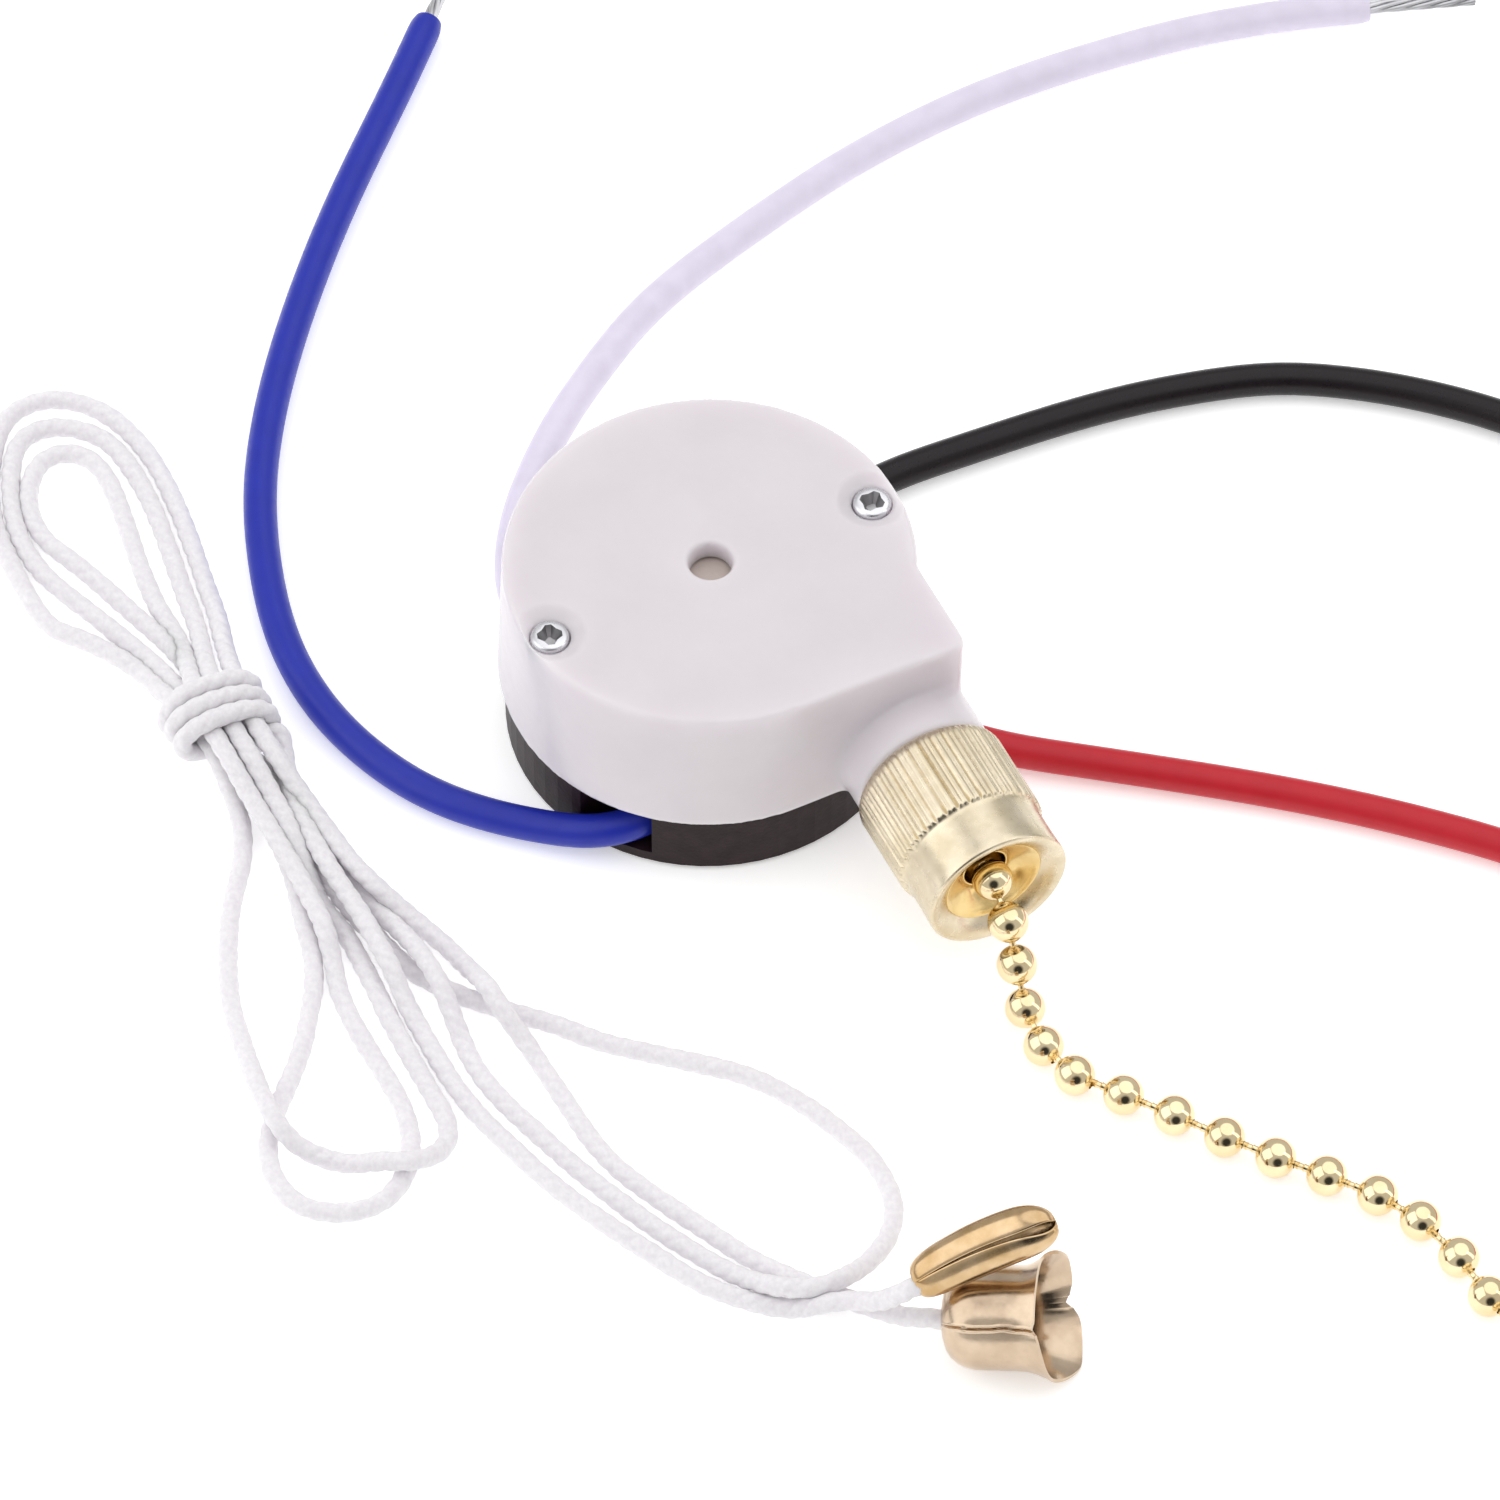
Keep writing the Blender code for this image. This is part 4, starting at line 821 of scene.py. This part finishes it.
def seam_sway(along):
    """Return how far the near seam strays to the side, in degrees, at a distance along the bell."""
    return 0.9 * math.sin(1.5 * along) + 0.5 * math.sin(3.7 * along + 1)


def make_bell():
    """Bell pull pressed from sheet: a round end, a seam down each side and a flared, petalled rim."""
    axes = fitting_axes(*BELL_TURN_AND_TILT)
    near = np.linspace(-6, 6, 25) + BELL_SEAM
    far = np.linspace(-6, 6, 25) + BELL_FAR_SEAM
    turns = np.concatenate([near, np.arange(0, 159, 3), far, np.arange(176, 343, 3)])
    wrapped = np.mod(turns + 180, 360) - 180
    from_seam = np.mod(turns - BELL_SEAM + 180, 360) - 180
    from_far = np.mod(turns - BELL_FAR_SEAM + 180, 360) - 180
    rim = np.array(BELL_RIM)
    rim_along = np.interp(wrapped, rim[:, 0], rim[:, 1])
    rim_radius = np.interp(wrapped, rim[:, 0], rim[:, 2])
    for _ in range(3):
        rim_along = 0.5 * rim_along + 0.25 * (np.roll(rim_along, 1) + np.roll(rim_along, -1))
    outer = [(0.9, 0.06), (1.3, 0.0), (1.9, 0.02), (2.4, 0.14), (2.85, 0.34), (3.25, 0.66), (3.55, 1.05),
             (3.78, 1.5), (3.92, 2.0), (3.99, 2.5), (4.0, 3.1)]
    outer += [(4.0, along) for along in np.linspace(3.5, 5.6, 8)] + [(BELL_RADIUS, BELL_FLARE_START)]
    rings = []
    for radius, along in outer:
        relief = min(1.0, along / 1.2) * seam_relief(from_seam, from_far, seam_sway(along))
        rings.append(bell_ring(axes, turns, along, radius + relief))
    for share in np.linspace(0, 1, 12)[1:]:
        along = BELL_FLARE_START + (rim_along - BELL_FLARE_START) * share
        radius = BELL_RADIUS + (rim_radius - BELL_RADIUS) * share ** 1.7
        relief = seam_relief(from_seam, from_far, seam_sway(BELL_FLARE_START + 1.6 * share))
        rings.append(bell_ring(axes, turns, along, radius + relief))
    for share, edge_along, edge_out in ((1.0, 0.08, 0.1), (0.9, 0, 0), (0.7, 0, 0), (0.45, 0, 0),
                                        (0.2, 0, 0), (0.0, 0, 0)):
        along = BELL_FLARE_START + (rim_along - BELL_FLARE_START) * share + edge_along
        radius = BELL_INNER_RADIUS + (rim_radius - BELL_RADIUS) * share ** 1.7 + edge_out
        rings.append(bell_ring(axes, turns, along, radius))
    inner = ((BELL_INNER_RADIUS, 5.0), (BELL_INNER_RADIUS, 3.1), (3.55, 2.0), (3.2, 1.3), (2.7, 0.75),
             (1.9, 0.42), (0.9, 0.4))
    for radius, along in inner:
        rings.append(bell_ring(axes, turns, along, radius * np.ones(len(turns))))
    mesh = grid_mesh("bell_pull_sheet", rings, loop=True)
    bell = finish_piece("bell_pull_sheet", mesh, SATIN_BRASS, 40)
    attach(bell, "switch_body")
    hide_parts("bell_pull")


def make_coupling():
    """Pod-shaped coupling folded from sheet, with its slit open along the side."""
    axis, near, over = fitting_axes(*POD_TURN_AND_TILT)
    # Each section is a distance along, half the width, and the slit's upper and lower edge in degrees
    sections = (
        (0.0, 1.0, 3.0, 0.0), (0.3, 1.36, 3.0, 0.0), (0.8, 1.62, 3.5, 0.0), (1.6, 1.8, 4.0, -0.5),
        (3.0, 1.94, 5.0, -1.5), (5.0, 2.03, 5.5, -3.0), (7.0, 2.08, 5.5, -5.0), (9.0, 2.06, 5.0, -8.0),
        (10.0, 1.95, 7.0, -14.0), (10.9, 1.66, 11.0, -22.0), (11.5, 1.26, 14.0, -28.0),
        (POD_LENGTH, 0.76, 14.0, -31.0),
    )
    rings = []
    for along, half, high, low in sections:
        turns = np.radians(np.linspace(high, 360 + low, 46))
        depth = POD_FLATNESS * half
        outer = np.stack([depth * np.cos(turns), half * np.sin(turns)], axis=1)
        inner = np.stack([(depth - POD_WALL) * np.cos(turns), (half - POD_WALL) * np.sin(turns)], axis=1)
        inner = inner[::-1]
        middle_high = (outer[0] + inner[-1]) / 2 + POD_LIP * np.array((0.4, -1.0))
        middle_low = (outer[-1] + inner[0]) / 2 + POD_LIP * np.array((0.4, 1.0))
        outline = np.vstack([outer, middle_low[None], inner, middle_high[None]])
        bow = POD_BOW * math.sin(math.pi * along / POD_LENGTH)
        centre = np.array(COUPLING_PLACE) + axis * along + over * bow
        rings.append(centre + np.outer(outline[:, 0], near) + np.outer(outline[:, 1], over))
    mesh = grid_mesh("chain_coupling_sheet", rings)
    pod = finish_piece("chain_coupling_sheet", mesh, COUPLING_BRASS, 45)
    fine = pod.modifiers.new("fine", "SUBSURF")
    fine.levels = 2
    fine.render_levels = 2
    apply_modifiers(pod)
    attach(pod, "switch_body")
    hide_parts("chain_coupling")
    return pod


make_bell()
coupling = make_coupling()


# ---------------------------------------------------------------- pull cord

def tie_points():
    """Return close turns of cord wound round the bundle."""
    points = []
    middle_y, middle_z = TIE_MIDDLE
    steps = 16
    first = 3
    for i in range(first, TIE_TURNS * steps - 2):
        turn = 2 * math.pi * i / steps - math.radians(100)
        across = math.copysign(abs(math.sin(turn)) ** 0.85, math.sin(turn)) * TIE_HALF_WIDTH
        up = math.copysign(abs(math.cos(turn)) ** 0.9, math.cos(turn)) * TIE_HALF_HEIGHT
        x = TIE_START + (TIE_END - TIE_START) * i / (TIE_TURNS * steps)
        points.append((x, middle_y + across, middle_z + up))
    return points


def make_cord():
    """One twisted cord from the bell, through the hank and its tie, to the coupling."""
    route = (BELL_TO_TIE + OUTER_BIGHT + OUTER_LOOP + MIDDLE_BIGHT + INNER_LOOP + INNER_BIGHT
             + LONG_LOOP + INTO_TIE + tuple(tie_points()) + OUT_OF_TIE + TIE_TO_COUPLING)
    spacing = 0.2
    centres = smooth_route(route, spacing, CORD_EASING)
    sides, uppers = frames_along(centres)
    along = np.arange(len(centres)) * spacing
    count = 24
    base = 2 * np.pi * np.arange(count) / count
    offset = CORD_RADIUS - CORD_LOBE_RADIUS
    lobe_angle = np.mod(base, 2 * np.pi / CORD_LOBES) - np.pi / CORD_LOBES
    reach = (offset * np.cos(lobe_angle)
             + np.sqrt(CORD_LOBE_RADIUS ** 2 - (offset * np.sin(lobe_angle)) ** 2))
    turn = base[None, :] + (2 * np.pi * along / CORD_TWIST_PITCH)[:, None]
    soft = 1 + 0.03 * np.sin(0.9 * along) * np.sin(0.37 * along + 1)
    profiles = np.stack([reach[None] * np.cos(turn), reach[None] * np.sin(turn)], axis=2)
    profiles = profiles * soft[:, None, None]
    mesh = grid_mesh("pull_cord", ring_points(centres, sides, uppers, profiles))
    cord = finish_piece("pull_cord_twisted", mesh, CORD_WHITE, 60)
    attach(cord, "switch_body")
    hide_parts("cord_upper_loops", "cord_tied_bundle", "cord_run_to_bell", "cord_run_to_coupling",
                "cord_long_loop", "cord_outer_loop", "cord_inner_loop")
    path = [tuple(p * MM) for p in smooth_route(route, 1.2, CORD_EASING)]
    return cord, path


cord, cord_path = make_cord()


# ---------------------------------------------------------------- parts inside the housing

def finish_hidden_parts():
    """Give every CAD part that stays its own worked material."""
    finishes = {
        MOULDING: ("base",),
        BEIGE: ("pull_drum", "contact_rotor"),
        ZINC: ("axle_pin", "ratchet_pawl", "return_spring", "contact_spring"),
        COPPER: ("contact_plate",),
        BEAD_BRASS: ("wound_chain",),
    }
    for finish, names in finishes.items():
        for name in names:
            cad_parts[name].material_slots[0].material = finish
    for colour in WIRE_ROUTES:
        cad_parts[f"fixed_contact_{colour}"].material_slots[0].material = CONTACT_BRASS
        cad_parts[f"wire_clamp_{colour}"].material_slots[0].material = ZINC
        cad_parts[f"inner_conductor_{colour}"].material_slots[0].material = TINNED


def smooth_carried_parts():
    """Shade the round CAD parts that stay smoothly, with their corners left sharp."""
    group = bpy.data.node_groups.new("smooth_rounds", "GeometryNodeTree")
    group.interface.new_socket("Geometry", in_out="INPUT", socket_type="NodeSocketGeometry")
    group.interface.new_socket("Geometry", in_out="OUTPUT", socket_type="NodeSocketGeometry")
    into = group.nodes.new("NodeGroupInput")
    out = group.nodes.new("NodeGroupOutput")
    faces = group.nodes.new("GeometryNodeSetShadeSmooth")
    edges = group.nodes.new("GeometryNodeSetShadeSmooth")
    edges.domain = "EDGE"
    edges.inputs["Shade Smooth"].default_value = False
    angle = group.nodes.new("GeometryNodeInputMeshEdgeAngle")
    corner = group.nodes.new("FunctionNodeCompare")
    corner.operation = "GREATER_THAN"
    corner.inputs["B"].default_value = math.radians(30)
    group.links.new(angle.outputs["Unsigned Angle"], corner.inputs["A"])
    group.links.new(corner.outputs["Result"], edges.inputs["Selection"])
    group.links.new(into.outputs["Geometry"], faces.inputs["Geometry"])
    group.links.new(faces.outputs["Geometry"], edges.inputs["Geometry"])
    group.links.new(edges.outputs["Geometry"], out.inputs["Geometry"])
    for name in ("base", "pull_drum", "contact_rotor", "axle_pin"):
        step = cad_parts[name].modifiers.new("smooth_rounds", "NODES")
        step.node_group = group


finish_hidden_parts()
smooth_carried_parts()


# ---------------------------------------------------------------- floor, lights and camera

ROOM_LIGHT = 0.64
DIM_LIGHT = 0.04
DIM_PATCH = (0.857, -0.299, 0.419)
FLOOR_GLOW = 0.4
FLOOR_HALF_SIDE = 3.0
FLOOR_DROP = 0.0001
LIGHT_DISTANCE = 0.8
CAMERA_AZIMUTH = 63.7
CAMERA_ELEVATION = 53.0
CAMERA_DISTANCE = 0.746
CAMERA_TARGET = (0.005356, 0.001119, 0)
CAMERA_LENS = 226.7


def studio():
    """Pale floor in an even white room with one dim patch, where the lens and its dark surround are."""
    mesh = bpy.data.meshes.new("floor")
    half = FLOOR_HALF_SIDE
    corners = [(-half, -half, 0), (half, -half, 0), (half, half, 0), (-half, half, 0)]
    mesh.from_pydata(corners, [], [(0, 1, 2, 3)])
    floor = bpy.data.objects.new("floor", mesh)
    bpy.context.scene.collection.objects.link(floor)
    floor.location.z = -FLOOR_DROP
    made, shader, _ = new_material("floor_white", (0.95, 0.95, 0.95), 0.9)
    shader.inputs["Specular IOR Level"].default_value = 0.0
    shader.inputs["Emission Color"].default_value = (1, 1, 1, 1)
    shader.inputs["Emission Strength"].default_value = FLOOR_GLOW
    mesh.materials.append(made)
    world = bpy.data.worlds.new("studio")
    bpy.context.scene.world = world
    world.use_nodes = True
    tree = world.node_tree
    tree.nodes["Background"].inputs["Color"].default_value = (1, 1, 1, 1)
    place = tree.nodes.new("ShaderNodeTexCoord")
    toward = tree.nodes.new("ShaderNodeVectorMath")
    toward.operation = "DOT_PRODUCT"
    toward.inputs[1].default_value = DIM_PATCH
    ramp = tree.nodes.new("ShaderNodeMapRange")
    ramp.inputs["From Min"].default_value = 0.86
    ramp.inputs["From Max"].default_value = 0.95
    ramp.inputs["To Min"].default_value = ROOM_LIGHT
    ramp.inputs["To Max"].default_value = DIM_LIGHT
    tree.links.new(place.outputs["Generated"], toward.inputs[0])
    tree.links.new(toward.outputs["Value"], ramp.inputs["Value"])
    tree.links.new(ramp.outputs["Result"], tree.nodes["Background"].inputs["Strength"])
    bpy.context.scene.view_settings.view_transform = "Standard"


def softbox(name, direction, size, brightness, round_front=False):
    """Add a flat light that faces the origin, with its size in metres and a surface brightness."""
    light = bpy.data.lights.new(name, "AREA")
    light.shape = "ELLIPSE" if round_front else "RECTANGLE"
    light.size, light.size_y = size
    area = size[0] * size[1] * (math.pi / 4 if round_front else 1)
    light.energy = brightness * math.pi * area
    place = Vector(direction).normalized() * LIGHT_DISTANCE
    lamp = bpy.data.objects.new(name, light)
    bpy.context.scene.collection.objects.link(lamp)
    lamp.location = place
    lamp.rotation_euler = (-place).to_track_quat("-Z", "Y").to_euler()


def camera():
    """Add the camera: above, in front of the neck's mouth, with a long lens."""
    azimuth = math.radians(CAMERA_AZIMUTH)
    elevation = math.radians(CAMERA_ELEVATION)
    target = Vector(CAMERA_TARGET)
    back = Vector((math.sin(azimuth) * math.cos(elevation), -math.cos(azimuth) * math.cos(elevation),
                   math.sin(elevation)))
    lens = bpy.data.cameras.new("camera")
    lens.sensor_width = 36
    lens.lens = CAMERA_LENS
    lens.clip_start = 0.05
    lens.clip_end = 20
    made = bpy.data.objects.new("camera", lens)
    bpy.context.scene.collection.objects.link(made)
    made.location = target + back * CAMERA_DISTANCE
    made.rotation_mode = "QUATERNION"
    made.rotation_quaternion = (-back).to_track_quat("-Z", "Y")
    bpy.context.scene.camera = made


studio()
softbox("softbox_overhead", (-0.05, 0.29, 0.955), (1.2, 1.2), 0.78, True)
softbox("softbox_side", (-0.21, -0.75, 0.63), (0.85, 0.8), 1.0)
softbox("softbox_strip", (0.52, 0.75, 0.41), (0.2, 0.7), 1.1)
camera()
